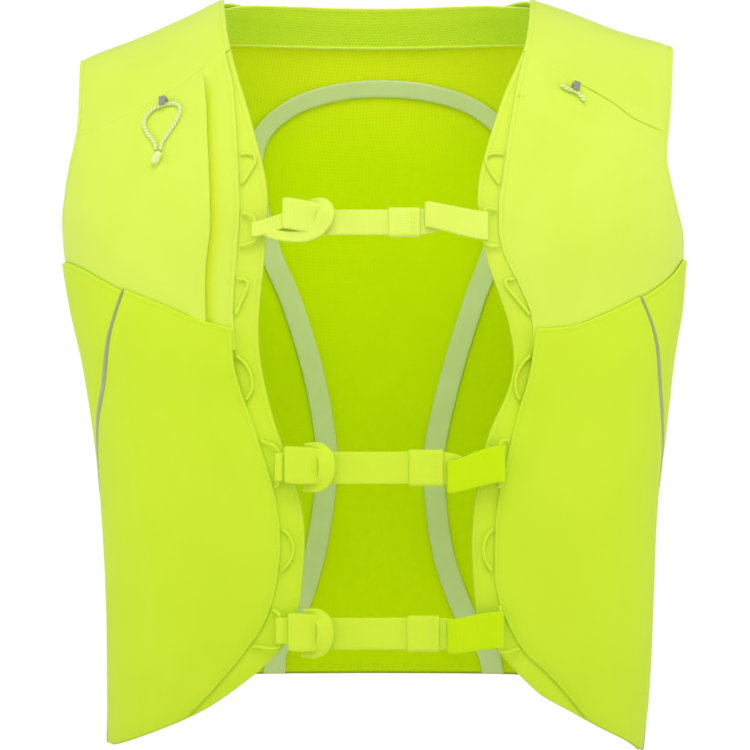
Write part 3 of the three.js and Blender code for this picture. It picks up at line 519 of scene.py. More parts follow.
class Cloth:
    """Grid of points and normals, rows from the top, columns from the start edge."""

    def __init__(self, points, normals):
        self.points = points
        self.normals = normals
        down = run_lengths(points)
        across = run_lengths(points, 1)
        self.from_top = down
        self.from_bottom = down[-1:] - down
        self.from_start = across
        self.from_end = across[:, -1:] - across
        self.x, _y, self.z = np.moveaxis(points, -1, 0)

    def from_edges(self, names):
        """Distance from the nearest of the named edges."""
        return np.min([getattr(self, f"from_{name}") for name in names.split()], axis=0)

    def cut(self):
        """Width, length and area of the flat piece, in metres."""
        corners = self.points
        first = np.cross(corners[1:, :-1] - corners[:-1, :-1], corners[:-1, 1:] - corners[:-1, :-1])
        second = np.cross(corners[1:, :-1] - corners[1:, 1:], corners[:-1, 1:] - corners[1:, 1:])
        area = (np.linalg.norm(first, axis=-1).sum() + np.linalg.norm(second, axis=-1).sum()) / 2
        width = self.from_start[:, -1].max()
        length = self.from_top[-1].max()
        return width * MM, length * MM, area * MM * MM


def patch_spots(edges, downs, acrosses):
    """Grid of spots between four edges, blended from all four."""
    top, bottom, start, end = edges
    down = downs[:, None, None]
    across = acrosses[None, :, None]
    return (
        (1 - down) * top(acrosses)[None] + down * bottom(acrosses)[None]
        + (1 - across) * start(downs)[:, None] + across * end(downs)[:, None]
        - (1 - across) * (1 - down) * one(top, 0) - across * (1 - down) * one(top, 1)
        - (1 - across) * down * one(bottom, 0) - across * down * one(bottom, 1)
    )


def cut_patch(top, bottom, start, end, step=3.0):
    """Cloth that fills the space between four edges."""
    edges = (top, bottom, start, end)
    even = np.linspace(0, 1, ROUGH_ROWS)
    rough = body_points(patch_spots(edges, even, even))
    downs = graded_shares(run_lengths(rough)[-1].max(), step)
    acrosses = graded_shares(run_lengths(rough, 1)[:, -1].max(), step)
    spots = patch_spots(edges, downs, acrosses)
    return Cloth(body_points(spots), body_normals(spots))


def cut_ribbon(points, normals, widths, columns):
    """Ribbon of cloth along a path, as wide as widths says at each point."""
    sides = unit(np.cross(np.gradient(points, axis=0), normals))
    places = np.linspace(0.5, -0.5, columns)
    widths = np.broadcast_to(np.asarray(widths, float), len(points))
    grid = points[:, None] + places[None, :, None] * (widths[:, None] * sides)[:, None]
    return Cloth(grid, np.repeat(normals[:, None], columns, axis=1))


# Mesh making


def signed_volume(points, faces):
    quads = points[np.array(faces)]
    first = np.einsum("ij,ij->i", quads[:, 0], np.cross(quads[:, 1], quads[:, 2]))
    second = np.einsum("ij,ij->i", quads[:, 0], np.cross(quads[:, 2], quads[:, 3]))
    return (first + second).sum() / 6


def outward(points, walls, faces):
    """Faces turned to point outwards, as the volume inside the walls shows."""
    return [face[::-1] for face in faces] if signed_volume(points, walls) < 0 else faces


def make_object(name, points, faces, uvs, material, folds=None):
    """Mesh object from points in millimetres, with a UV place and a fold mark for each point, which
    materials use for painted shade and other tones.
    """
    mesh = bpy.data.meshes.new(name)
    mesh.from_pydata((np.asarray(points) * MM).tolist(), [], [list(face) for face in faces])
    layer = mesh.uv_layers.new(name="cloth")
    corners = np.empty(len(mesh.loops), int)
    mesh.loops.foreach_get("vertex_index", corners)
    layer.data.foreach_set("uv", (np.asarray(uvs)[corners] * UV_PER_MM).ravel())
    mesh.polygons.foreach_set("use_smooth", np.ones(len(mesh.polygons), bool))
    mesh.materials.append(material)
    if folds is not None:
        mesh.attributes.new("fold", "FLOAT", "POINT").data.foreach_set("value", folds)
    mesh.update()
    return add_object(name, mesh)


def rim_of(index):
    """Points round the edge of a grid, in order."""
    return np.concatenate([index[0, :-1], index[:-1, -1], index[-1, :0:-1], index[:0:-1, 0]])


def sheet_geometry(cloth, inner, outer):
    """Closed wall between two offsets along the normals, with a rounded rim."""
    rows, columns = cloth.points.shape[:2]
    inner = np.broadcast_to(np.asarray(inner, float), (rows, columns))
    outer = np.broadcast_to(np.asarray(outer, float), (rows, columns))
    front = cloth.points + cloth.normals * outer[..., None]
    back = cloth.points + cloth.normals * inner[..., None]
    index = np.arange(rows * columns).reshape(rows, columns)
    rim = rim_of(index)
    away = np.zeros_like(front)
    away[0] += unit(front[0] - front[1])
    away[-1] += unit(front[-1] - front[-2])
    away[:, 0] += unit(front[:, 0] - front[:, 1])
    away[:, -1] += unit(front[:, -1] - front[:, -2])
    half = (outer - inner)[..., None] / 2
    middle = ((front + back) / 2 + unit(away) * half).reshape(-1, 3)[rim]
    points = np.concatenate([front.reshape(-1, 3), back.reshape(-1, 3), middle])
    here, right = index[:-1, :-1].ravel(), index[:-1, 1:].ravel()
    below, corner = index[1:, :-1].ravel(), index[1:, 1:].ravel()
    shift = rows * columns
    faces = [np.stack([here, below, corner, right], 1)]
    faces.append(np.stack([here, right, corner, below], 1) + shift)
    ring = 2 * shift + np.arange(len(rim))
    ring_next = np.roll(ring, -1)
    rim_next = np.roll(rim, -1)
    faces.append(np.stack([rim, rim_next, ring_next, ring], 1))
    faces.append(np.stack([ring, ring_next, rim_next + shift, rim + shift], 1))
    faces = np.concatenate(faces)
    uvs = np.stack([cloth.from_start, cloth.from_top], -1).reshape(-1, 2)
    return points, outward(points, faces, faces), np.concatenate([uvs, uvs, uvs[rim]])


def dress(piece, slot, *nodes):
    """Hangs a piece from the root body and hides the nodes that it replaces; the slot is not used."""
    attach(piece, "root")
    if nodes:
        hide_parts(*nodes)
    return piece


STITCH = {"Pitch": 2.8, "Length": 2.1, "Thickness": 0.42}
STITCH_LIFT = 0.4 * STITCH["Thickness"]
SEAM_INSET = 2.5
stitch_rows = {"left": [], "right": [], "back": [], "straps": []}


def seam_line(cloth, face, edge, inset, reach, way=1):
    """Points and normals of a row of stitches inside one edge, between two distances along it."""
    face = np.broadcast_to(np.asarray(face, float), cloth.x.shape)
    surface = cloth.points + cloth.normals * face[..., None]
    grids = [surface, cloth.normals, getattr(cloth, f"from_{edge}")]
    if edge in ("start", "end"):
        grids = [np.swapaxes(grid, 0, 1) for grid in grids]
    if edge in ("bottom", "end"):
        grids = [grid[::-1] for grid in grids]
    points, normals, distances = grids

    def along(grid):
        return np.array([
            [np.interp(inset, distances[:, column], grid[:, column, axis]) for axis in range(3)]
            for column in range(grid.shape[1])
        ])

    outs = way * unit(along(normals))
    line = along(points) + outs * STITCH_LIFT
    runs = run_lengths(line)
    first, last = reach
    kept = (runs >= first) & (runs <= (last if last > 0 else runs[-1] + last))
    return line[kept], outs[kept]


def make_sheet(
        name, node, slot, material, cloth, inner, outer, fold=None, sewing=None, seams=()):
    """Sheet of cloth between two offsets, with seams along edges, which go to a group of stitches."""
    for edge, *reach in seams:
        stitch_rows[sewing].append(seam_line(cloth, outer, edge, SEAM_INSET, reach))
    folds = None
    if fold is not None:
        folds = np.concatenate([fold.ravel(), fold.ravel(), rim_of(fold)])
    piece = make_object(name, *sheet_geometry(cloth, inner, outer), material, folds)
    dress(piece, slot, node)
    width, length, area = cloth.cut()
    flat_area = min(area, width * length)
    return piece


def even_rounds(sides):
    """Even angles once round, in radians."""
    return np.linspace(0, 2 * math.pi, sides, endpoint=False)


def ring_walls(count, around, closed=False):
    """Numbers of the points of rings set one after another, and the quads from each ring to the next."""
    index = np.arange(count * around).reshape(count, around)
    nearby = np.roll(index, -1, axis=1)
    quads = np.stack([index, nearby, np.roll(nearby, -1, axis=0), np.roll(index, -1, axis=0)], -1)
    return index, (quads if closed else quads[:-1]).reshape(-1, 4)


def with_flat_ends(index, walls):
    """Faces of a tube's walls and of its two ends."""
    return [*map(tuple, walls), tuple(index[0][::-1]), tuple(index[-1])]


TUBE_START = (0.3, 0.9, 0.2)


def tube_geometry(path, radii, sides):
    """Closed round tube along a path, with its own radius at each point and each side."""
    count = len(path)
    tangents = unit(np.gradient(path, axis=0))
    frames = [unit(np.cross(tangents[0], TUBE_START))]
    for tangent in tangents[1:]:
        frames.append(unit(frames[-1] - tangent * np.dot(frames[-1], tangent)))
    across = np.array(frames)
    other = np.cross(tangents, across)
    rounds = even_rounds(sides)
    spokes = across[:, None] * np.cos(rounds)[:, None] + other[:, None] * np.sin(rounds)[:, None]
    radii = np.broadcast_to(np.asarray(radii, float), (count, sides))
    rings = path[:, None] + spokes * radii[..., None]
    points = np.concatenate([rings.reshape(-1, 3), path[:1], path[-1:]])
    index, walls = ring_walls(count, sides)
    nearby = np.roll(index, -1, axis=1)
    faces = [tuple(face) for face in walls]
    faces += [(nearby[0, k], index[0, k], count * sides) for k in range(sides)]
    faces += [(index[-1, k], nearby[-1, k], count * sides + 1) for k in range(sides)]
    runs = run_lengths(path)
    uvs = np.stack(np.broadcast_arrays(rounds, runs[:, None]), -1).reshape(-1, 2)
    uvs = np.concatenate([uvs, [[0, runs[0]], [0, runs[-1]]]])
    return points, outward(points, walls, faces), uvs


PATH_STEPS = 24


def smooth_path(points, spacing):
    """Evenly spaced points on a smooth curve through the given ones."""
    knots = np.array(points, float)
    lengthened = np.concatenate([[2 * knots[0] - knots[1]], knots, [2 * knots[-1] - knots[-2]]])
    gaps = np.sqrt(np.maximum(np.linalg.norm(np.diff(lengthened[:, :3], axis=0), axis=1), 1e-6))
    share = np.linspace(0, 1, PATH_STEPS, endpoint=False)[:, None]
    fine = []
    for row in range(len(knots) - 1):
        before, start, end, after = lengthened[row:row + 4]
        gap_in, gap, gap_out = gaps[row:row + 3]
        along = (end - start) / gap
        slope_in = (start - before) / gap_in - (end - before) / (gap_in + gap) + along
        slope_out = along - (after - start) / (gap + gap_out) + (after - end) / gap_out
        fine.append(hermite(start, end, slope_in * gap, slope_out * gap, share))
    fine = np.concatenate(fine + [knots[-1:]])
    runs = run_lengths(fine[:, :3])
    places = np.linspace(0, runs[-1], max(int(runs[-1] / spacing), 2) + 1)
    return np.stack([np.interp(places, runs, column) for column in fine.T], 1)


SELVEDGE_STEPS = 5
WEBBING_STEPS = 9


def band_geometry(centres, ups, fronts, heights, wall, closed=False):
    """Flat webbing along a path: ups give its width, fronts its face, with half-round selvedges."""
    arc = np.linspace(-math.pi / 2, math.pi / 2, SELVEDGE_STEPS)
    flats = np.linspace(1, -1, WEBBING_STEPS)[1:-1]
    heights = np.broadcast_to(np.asarray(heights, float), len(centres))
    half = heights[:, None] / 2 - wall / 2
    rim_up = half + np.cos(arc) * wall / 2
    rim_front = np.broadcast_to(np.sin(arc) * wall / 2, rim_up.shape)
    face_up = half * flats
    face_front = np.full_like(face_up, wall / 2)
    place_up = np.concatenate([rim_up, face_up, -rim_up, -face_up], 1)
    place_front = np.concatenate([rim_front, face_front, -rim_front, -face_front], 1)
    points = centres[:, None] + ups[:, None] * place_up[..., None]
    points = (points + fronts[:, None] * place_front[..., None]).reshape(-1, 3)
    index, walls = ring_walls(*place_up.shape, closed)
    faces = walls if closed else with_flat_ends(index, walls)
    runs = run_lengths(centres)
    uvs = np.stack(np.broadcast_arrays(runs[:, None], place_up), -1).reshape(-1, 2)
    return points, outward(points, walls, faces), uvs


def join_geometry(*parts):
    """One set of points, faces and UV places from several."""
    all_points, all_faces, all_uvs = zip(*parts)
    faces = []
    shift = 0
    for points, part_faces in zip(all_points, all_faces):
        faces += [tuple(int(corner) + shift for corner in face) for face in part_faces]
        shift += len(points)
    return np.concatenate(all_points), faces, np.concatenate(all_uvs)


# Shader nodes


def calc(tree, operation, *values):
    inputs = dict(enumerate(values))
    return place_node(tree, "ShaderNodeMath", inputs, operation=operation).outputs[0]


def mix_colours(tree, share, first, second):
    node = place_node(tree, "ShaderNodeMix", {"Factor": share}, data_type="RGBA")
    colours = [socket for socket in node.inputs if socket.type == "RGBA"]
    for socket, colour in zip(colours, (first, second)):
        feed(tree, socket, colour)
    return next(socket for socket in node.outputs if socket.type == "RGBA")


def map_range(tree, value, low, high, to_low=0.0, to_high=1.0):
    inputs = {"Value": value, "From Min": low, "From Max": high, "To Min": to_low, "To Max": to_high}
    node = place_node(tree, "ShaderNodeMapRange", inputs, interpolation_type="SMOOTHSTEP")
    return node.outputs["Result"]


def parts_of(tree, place):
    """Sockets for the X, Y and Z of a place."""
    return place_node(tree, "ShaderNodeSeparateXYZ", {0: place}).outputs


def scaled_place(tree, place, scale):
    inputs = {0: place, "Scale": scale}
    return place_node(tree, "ShaderNodeVectorMath", inputs, operation="SCALE").outputs[0]


def make_group(name, inputs, outputs):
    """Empty shader group with named sockets; returns the tree and its two ends."""
    tree = bpy.data.node_groups.new(name, "ShaderNodeTree")
    for label, kind, value in inputs:
        socket = tree.interface.new_socket(label, in_out="INPUT", socket_type=f"NodeSocket{kind}")
        if value is not None:
            socket.default_value = value
    for label, kind in outputs:
        tree.interface.new_socket(label, in_out="OUTPUT", socket_type=f"NodeSocket{kind}")
    return tree, tree.nodes.new("NodeGroupInput").outputs, tree.nodes.new("NodeGroupOutput").inputs


CELL_FLAT = 0.45
RIB_GRAIN = {"turns": 4.0, "height": 0.18}


def threads_group():
    """Plain weave: threads over and under each other, as a height from 0 to 1."""
    tree, given, out = make_group(
        "cloth threads", [("Place", "Vector", None), ("Threads", "Float", 100.0)], [("Height", "Float")])
    scaled = scaled_place(tree, given["Place"], given["Threads"])
    weft, warp = [
        calc(tree, "ABSOLUTE", calc(tree, "SINE", calc(tree, "MULTIPLY", part, math.pi)))
        for part in parts_of(tree, scaled)[:2]
    ]
    checks = place_node(
        tree, "ShaderNodeTexChecker",
        {"Vector": scaled, "Color1": (1, 1, 1, 1), "Color2": (0, 0, 0, 1), "Scale": 1.0}).outputs["Fac"]
    weft_over = calc(tree, "MULTIPLY", weft, checks)
    warp_over = calc(tree, "MULTIPLY", warp, calc(tree, "SUBTRACT", 1.0, checks))
    feed(tree, out["Height"], calc(tree, "ADD", weft_over, warp_over))
    return tree


def cells_group():
    """Waffle or hole mesh: 1 in the middle of each cell and 0 on its walls."""
    tree, given, out = make_group(
        "mesh cells",
        [("Place", "Vector", None), ("Cells", "Float", 40.0), ("Reach", "Float", 0.5)],
        [("Cell", "Float")])
    scaled = scaled_place(tree, given["Place"], given["Cells"])
    squares = []
    for part in parts_of(tree, scaled)[:2]:
        from_middle = calc(tree, "SUBTRACT", calc(tree, "FRACT", part), 0.5)
        squares.append(calc(tree, "MULTIPLY", from_middle, from_middle))
    distance = calc(tree, "SQRT", calc(tree, "ADD", *squares))
    near = calc(tree, "MULTIPLY", given["Reach"], CELL_FLAT)
    feed(tree, out["Cell"], map_range(tree, distance, near, given["Reach"], 1.0, 0.0))
    return tree


def ribs_group():
    """Ribs across webbing, as a height from 0 to 1."""
    tree, given, out = make_group(
        "webbing ribs", [("Place", "Vector", None), ("Ribs", "Float", 80.0)], [("Height", "Float")])
    parts = parts_of(tree, scaled_place(tree, given["Place"], given["Ribs"]))
    wave = calc(tree, "SINE", calc(tree, "MULTIPLY", parts[0], math.pi))
    grain = calc(tree, "SINE", calc(tree, "MULTIPLY", parts[1], RIB_GRAIN["turns"]))
    low_grain = calc(tree, "MULTIPLY", grain, RIB_GRAIN["height"])
    feed(tree, out["Height"], calc(tree, "ADD", calc(tree, "ABSOLUTE", wave), low_grain))
    return tree


def mottle_group():
    """Uneven dye: a base colour that drifts towards a second one."""
    tree, given, out = make_group(
        "uneven dye",
        [("Place", "Vector", None), ("Patches", "Float", 20.0), ("Colour", "Color", (1, 1, 1, 1)),
         ("Drift colour", "Color", (1, 1, 1, 1)), ("Drift", "Float", 0.5)],
        [("Colour", "Color"), ("Grain", "Float")])
    noise = place_node(
        tree, "ShaderNodeTexNoise",
        {"Vector": given["Place"], "Scale": given["Patches"], "Detail": 3.0, "Roughness": 0.55})
    share = calc(tree, "MULTIPLY", map_range(tree, noise.outputs["Fac"], 0.3, 0.7), given["Drift"])
    feed(tree, out["Colour"], mix_colours(tree, share, given["Colour"], given["Drift colour"]))
    feed(tree, out["Grain"], noise.outputs["Fac"])
    return tree


THREADS = threads_group()
CELLS = cells_group()
RIBS = ribs_group()
MOTTLE = mottle_group()


def use_group(tree, group, **inputs):
    named = {name.replace("_", " "): value for name, value in inputs.items()}
    return place_node(tree, "ShaderNodeGroup", named, node_tree=group).outputs


def per_mm(pitch):
    """Repeats per UV unit for a pitch in millimetres."""
    return 1 / (UV_PER_MM * pitch)


SHEEN_ROUGHNESS = 0.45
CORD_TWIST = 2.6


class Finish:
    """New material with its shader, its places on the piece and its uneven dye."""

    def __init__(
            self, name, colour, drift_colour,
            drift=0.5, patches=22.0, rough=0.75, sheen=0.25, specular=0.3):
        self.material = bpy.data.materials.new(name)
        self.material.use_nodes = True
        self.tree = self.material.node_tree
        self.shader = self.tree.nodes["Principled BSDF"]
        self.shader.inputs["Roughness"].default_value = rough
        self.shader.inputs["Sheen Weight"].default_value = sheen
        self.shader.inputs["Sheen Roughness"].default_value = SHEEN_ROUGHNESS
        self.shader.inputs["Specular IOR Level"].default_value = specular
        places = place_node(self.tree, "ShaderNodeTexCoord").outputs
        self.uv = places["UV"]
        self.object = places["Object"]
        dyed = use_group(
            self.tree, MOTTLE, Place=self.object, Patches=patches, Colour=(*colour, 1),
            Drift_colour=(*drift_colour, 1), Drift=drift)
        self.colour = dyed["Colour"]
        self.grain = dyed["Grain"]

    def threads(self, pitch):
        return use_group(self.tree, THREADS, Place=self.uv, Threads=per_mm(pitch))["Height"]

    def cells(self, pitch, reach):
        return use_group(self.tree, CELLS, Place=self.uv, Cells=per_mm(pitch), Reach=reach)["Cell"]

    def ribs(self, pitch):
        return use_group(self.tree, RIBS, Place=self.uv, Ribs=per_mm(pitch))["Height"]

    def folds(self):
        """Fold mark that the piece keeps for each of its points, which the materials paint as shade, a
        dark hem line or a painted highlight on bound edges.
        """
        return place_node(self.tree, "ShaderNodeAttribute", attribute_name="fold").outputs["Fac"]

    def by_height(self, start, end, least=0.0, most=1.0):
        """Share that goes from least to most between two heights in the frame, in metres."""
        return map_range(self.tree, parts_of(self.tree, self.object)["Z"], start, end, least, most)

    def times(self, first, second):
        return calc(self.tree, "MULTIPLY", first, second)

    def rest_of(self, share):
        """What is missing from a share to make 1."""
        return calc(self.tree, "SUBTRACT", 1.0, share)

    def shade(self, share, colour):
        """Turns the colour towards another one by a share."""
        self.colour = mix_colours(self.tree, share, self.colour, (*colour, 1))

    def close(self, height, depth):
        """Joins the colour, and a height as bumps of a depth in millimetres."""
        feed(self.tree, self.shader.inputs["Base Color"], self.colour)
        bump = place_node(
            self.tree, "ShaderNodeBump", {"Height": height, "Distance": depth * MM, "Strength": 1.0})
        feed(self.tree, self.shader.inputs["Normal"], bump.outputs["Normal"])
        return self.material


def shell_cloth(name, colour, drift_colour, sheen, low_colour=None):
    """Smooth shell cloth with painted shade in its folds, painted highlights on its thread crowns and,
    where a low colour is given, painted light from above that fades to that colour lower down.
    """
    # Its drifting dye is partly real uneven tone and partly painted shade of soft puckers.
    finish = Finish(name, colour, drift_colour, drift=0.6, patches=14.0, sheen=sheen, specular=0.2)
    # Painted light from above: paler higher up, turning to the low colour lower down.
    if low_colour:
        finish.shade(finish.by_height(-0.15, -0.24), low_colour)
    # Painted shade where the piece marks a fold, as by the slot of the left chest pocket.
    finish.shade(finish.folds(), (0.66, 0.82, 0.0))
    threads = finish.threads(pitch=0.55)
    # Painted highlight on the crowns of the threads.
    finish.shade(finish.times(threads, 0.06), (0.85, 1.0, 0.2))
    return finish.close(threads, depth=0.05)


def back_mesh():
    """Waffle mesh, painted lighter below the neck and on the lower back, with painted shade at the
    neckline, at the foot and in its cells, and a dark line along its hem.
    """
    finish = Finish("waffle mesh", (0.68, 0.88, 0.0), (0.62, 0.84, 0.0), sheen=0.0, specular=0.03)
    # Painted light from above: brighter below the neck.
    finish.shade(finish.by_height(-0.1, -0.02), (0.93, 1.0, 0.016))
    # Painted shade, greener, along the top rim at the neckline.
    finish.shade(finish.by_height(-0.012, -0.003), (0.54, 0.78, 0.03))
    # Painted light on the lower back.
    finish.shade(finish.by_height(-0.25, -0.33, most=0.5), (0.76, 0.95, 0.0))
    # Painted shade at the foot of the back.
    finish.shade(finish.by_height(-0.37, -0.42, most=0.6), (0.62, 0.83, 0.0))
    cells = finish.cells(pitch=2.3, reach=0.62)
    strong = finish.by_height(-0.16, -0.06, least=0.06, most=0.22)
    # Painted shade in the hollows of the cells, stronger higher up.
    finish.shade(finish.times(cells, strong), (0.5, 0.86, 0.0))
    # Dark line along the hem.
    finish.shade(finish.times(finish.folds(), 0.7), (0.16, 0.2, 0.06))
    return finish.close(finish.rest_of(cells), depth=0.07)


def facing_mesh():
    """Mesh with round holes in rows, which stop short of its bound edges."""
    finish = Finish("hole mesh", (0.815, 1.0, 0.045), (0.77, 0.99, 0.03), sheen=0.1, specular=0.15)
    bound = finish.folds()
    holes = finish.times(finish.cells(pitch=2.1, reach=0.42), finish.rest_of(bound))
    # Painted shade in the holes.
    finish.shade(finish.times(holes, 0.38), (0.32, 0.86, 0.0))
    # Bound edges have no holes, and a painted highlight on their beads.
    finish.shade(finish.times(bound, 0.6), (0.96, 1.0, 0.16))
    return finish.close(finish.rest_of(holes), depth=0.16)


def elastic_webbing(name, colour, drift_colour):
    finish = Finish(name, colour, drift_colour, patches=30.0, rough=0.8, sheen=0.08, specular=0.15)
    ribs = finish.ribs(pitch=1.25)
    # Painted shade in the grooves between the ribs.
    finish.shade(finish.times(finish.rest_of(ribs), 0.07), (0.45, 0.68, 0.0))
    return finish.close(ribs, depth=0.06)


def reflective_tape():
    finish = Finish(
        "tape", (0.72, 0.83, 0.42), (0.66, 0.78, 0.36), drift=0.6, patches=40.0, rough=0.5, sheen=0.0)
    return finish.close(finish.threads(pitch=0.5), depth=0.03)


def reflective_piping():
    finish = Finish(
        "piping", (0.36, 0.41, 0.2), (0.3, 0.35, 0.15),
        drift=0.7, patches=60.0, rough=0.42, sheen=0.0, specular=0.5)
    return finish.close(finish.threads(pitch=0.4), depth=0.03)


def grey_puller():
    finish = Finish(
        "puller", (0.26, 0.28, 0.21), (0.31, 0.33, 0.26),
        drift=0.6, patches=300.0, rough=0.42, sheen=0.0, specular=0.5)
    return finish.close(finish.grain, depth=0.02)


def twisted_cord():
    """Two strands, pale and grey, turning round each other."""
    finish = Finish("twisted cord", (0.82, 0.92, 0.4), (0.77, 0.89, 0.32), patches=200.0, sheen=0.1)
    parts = parts_of(finish.tree, finish.uv)
    turn = finish.times(parts[0], 2 / UV_PER_MM)
    along = finish.times(parts[1], per_mm(CORD_TWIST) * 2 * math.pi)
    wave = calc(finish.tree, "SINE", calc(finish.tree, "ADD", turn, along))
    finish.shade(finish.times(map_range(finish.tree, wave, 0.3, 0.8), 0.6), (0.42, 0.54, 0.2))
    return finish.close(wave, depth=0.12)


def pale_plastic():
    finish = Finish(
        "cord end", (0.76, 0.88, 0.34), (0.7, 0.85, 0.28),
        patches=200.0, rough=0.4, sheen=0.0, specular=0.5)
    return finish.close(finish.grain, depth=0.02)


def thread():
    finish = Finish("sewing thread", (0.7, 0.9, 0.09), (0.64, 0.86, 0.06), patches=300.0)
    return finish.close(finish.grain, depth=0.02)


SHELL = shell_cloth("pocket cloth", (0.64, 0.86, 0.02), (0.6, 0.82, 0.012), 0.08)
# Shell cloth painted paler, as light from above, for the chest pockets, yokes and slot strip.
SHELL_PAINTED_LIGHT = shell_cloth("shell cloth, painted light", (0.725, 0.9, 0.09), (0.665, 0.85, 0.06), 0.2)
# Base cloth painted paler higher up, as light from above, turning to the pocket colour lower down.
SHELL_BASE = shell_cloth("base cloth", (0.72, 0.89, 0.07), (0.69, 0.86, 0.055), 0.1, (0.64, 0.86, 0.02))
MESH = back_mesh()
FACING = facing_mesh()
ELASTIC = elastic_webbing("elastic webbing", (0.67, 0.86, 0.045), (0.63, 0.83, 0.03))
ELASTIC_PALE = elastic_webbing("elastic webbing, paler", (0.77, 0.92, 0.135), (0.73, 0.88, 0.11))
# Copy of the webbing painted deeper, as shade, for the lower straps' right tabs.
ELASTIC_PAINTED_SHADE = elastic_webbing("elastic webbing, painted shade", (0.59, 0.83, 0.0), (0.55, 0.8, 0.0))
TAPE = reflective_tape()
PIPING = reflective_piping()
PULLER = grey_puller()
CORD = twisted_cord()
CORD_END = pale_plastic()
THREAD = thread()

# Zip cord, first because its room is measured

ZIP_CORD_DIAMETER = 2.6
ZIP_CORD_SIDES = 12
ZIP_CORD_SPACING = 0.7
STRAND_DEPTH = 0.1
ZIP_CORD_ROUTE = [
    (130.4, -98.5), (130.9, -95.5), (132.8, -92), (135.7, -88.5), (137.8, -84.5), (138.3, -80.5),
    (136.5, -76.5), (133, -73.1), (129, -71.2), (124.5, -70.2), (120.1, -70), (117.1, -71.7),
    (116.4, -75), (118.1, -80), (121.1, -85.5), (124.5, -90.5), (126.9, -94.5), (127.5, -98.5),
]
ZIP_CORD_EXIT = (126, -74.5)
CORD_TIP = {"row": at(129.9, -103.4), "length": 8, "radius": 2.5, "lean": 20, "sides": 24}
PULLERS = {
    "left": {"row": at(126, -69.5), "lean": 12},
    "right": {"row": at(119.6, -60.7), "lean": -20},
}


def lifted_point(side, x, z, lift):
    return lifted(spot_of(side, at(x, z), lift), lift)


def cloth_frame(side, row, lift, lean):
    """Origin on the cloth with axes level, up and out, turned by a lean in degrees."""
    spot = spot_of(side, row, lift)
    out = body_normals(spot)
    level = unit(np.cross(UP, out))
    up = np.cross(out, level)
    angle = math.radians(lean)
    turned = level * math.cos(angle) + up * math.sin(angle)
    return lifted(spot, lift), np.stack([turned, np.cross(out, turned), out])


def make_cord(name, side, route, clearance):
    """Cord of two strands turning round each other, along a route over the cloth, and its path."""
    lift = OUTER_FACE + clearance + ZIP_CORD_DIAMETER / 2
    path = smooth_path([lifted_point(side, x, z, lift) for x, z in route], ZIP_CORD_SPACING)
    turns = run_lengths(path)[:, None] / CORD_TWIST
    strands = np.cos(2 * even_rounds(ZIP_CORD_SIDES) + 2 * math.pi * turns)
    radii = ZIP_CORD_DIAMETER / 2 * (1 - STRAND_DEPTH + STRAND_DEPTH * strands)
    return make_object(name, *tube_geometry(path, radii, ZIP_CORD_SIDES), CORD), path


def make_cord_tip():
    """Moulded end that holds both ends of the zip cord, with a hollow below."""
    half, radius, sides = CORD_TIP["length"] / 2, CORD_TIP["radius"], CORD_TIP["sides"]
    origin, axes = cloth_frame(
        "left", CORD_TIP["row"], OUTER_FACE + SEAM_GAP + radius, -CORD_TIP["lean"])
    profile = np.array([
        (-half + 2.2, 0.25), (-half + 1.4, 0.95), (-half + 0.2, 1.0), (-half, 1.35),
        (-half + 0.2, radius * 0.72), (-half + 1.0, radius * 0.88), (-half / 2, radius * 0.97),
        (0, radius), (half / 2, radius * 0.98), (half - 0.9, radius * 0.9), (half - 0.2, radius * 0.76),
        (half, radius * 0.5),
    ])
    rounds = even_rounds(sides)[:, None]
    spokes = axes[0] * np.cos(rounds) + axes[2] * np.sin(rounds)
    rings = origin + profile[:, :1, None] * axes[1] + profile[:, 1:, None] * spokes
    points = rings.reshape(-1, 3)
    index, walls = ring_walls(len(profile), sides)
    faces = outward(points, walls, with_flat_ends(index, walls))
    return make_object("zip_cord_tip", points, faces, np.zeros((len(points), 2)), CORD_END)


def make_zip_cord():
    cord, path = make_cord("zip_cord", "left", ZIP_CORD_ROUTE, SEAM_GAP)
    dress(cord, "cord", "zip_cord_left")
    tip = dress(make_cord_tip(), "cord", "zip_cord_tip_left")
    exit_point = lifted_point("left", *ZIP_CORD_EXIT, OUTER_FACE + SEAM_GAP + ZIP_CORD_DIAMETER / 2)
    float(run_lengths(path)[-1]) * MM


make_zip_cord()

# Relief of worn cloth

# Ripples: height, length, angle and seed, and the distances from the hems between which they set in
RIPPLES = {
    "back": (0.6, 90, 20, 0.7, (12, 60)),
    "yoke": (0.6, 55, 60, 1.9, (6, 25)),
    "chest": (0.85, 62, 15, 2.6, (4, 30)),
    "lower": (0.8, 75, 8, 4.1, (5, 40)),
    "side": (0.5, 60, 12, 5.3, (5, 25)),
}
# Fullness: height, and the distances from the hems between which it sets in
FULLNESS = {"chest": (0.75, (4, 30)), "lower": (1.7, (2, 60))}
# Hems: width and height of the bead
HEMS = {
    "back": (2.2, 0.25), "facing": (1.6, 0.35), "base": (1.6, 0.2), "yoke": (1.5, 0.2),
    "pocket": (1.5, 0.15), "strip": (1.4, 0.2), "opening": (2.0, 0.18),
}
ALL_EDGES = "top bottom start end"
# A second, shorter wave and a slow swell, as shares of a ripple's length, and what they weigh in it
SHORT_WAVE = {"length": 0.61, "weight": 0.5}
SWELL = {"length": 1.9, "weight": 0.35}
# Form of a hem in shares of its width and height, and its turned-down rim in millimetres
BEAD_REACH = (0.75, 1.35)
GROOVE = {"depth": 0.55, "place": 1.6, "width": 0.45}
RIM_TURN = {"depth": 0.3, "reach": 0.8}
SEWN_DROP = 0.6
SEWN_FLAT = 1.5


def calm(cloth, reach, names=ALL_EDGES):
    """0 along the hems and 1 inside, so relief leaves the edges where they are."""
    return ease(*reach, cloth.from_edges(names))


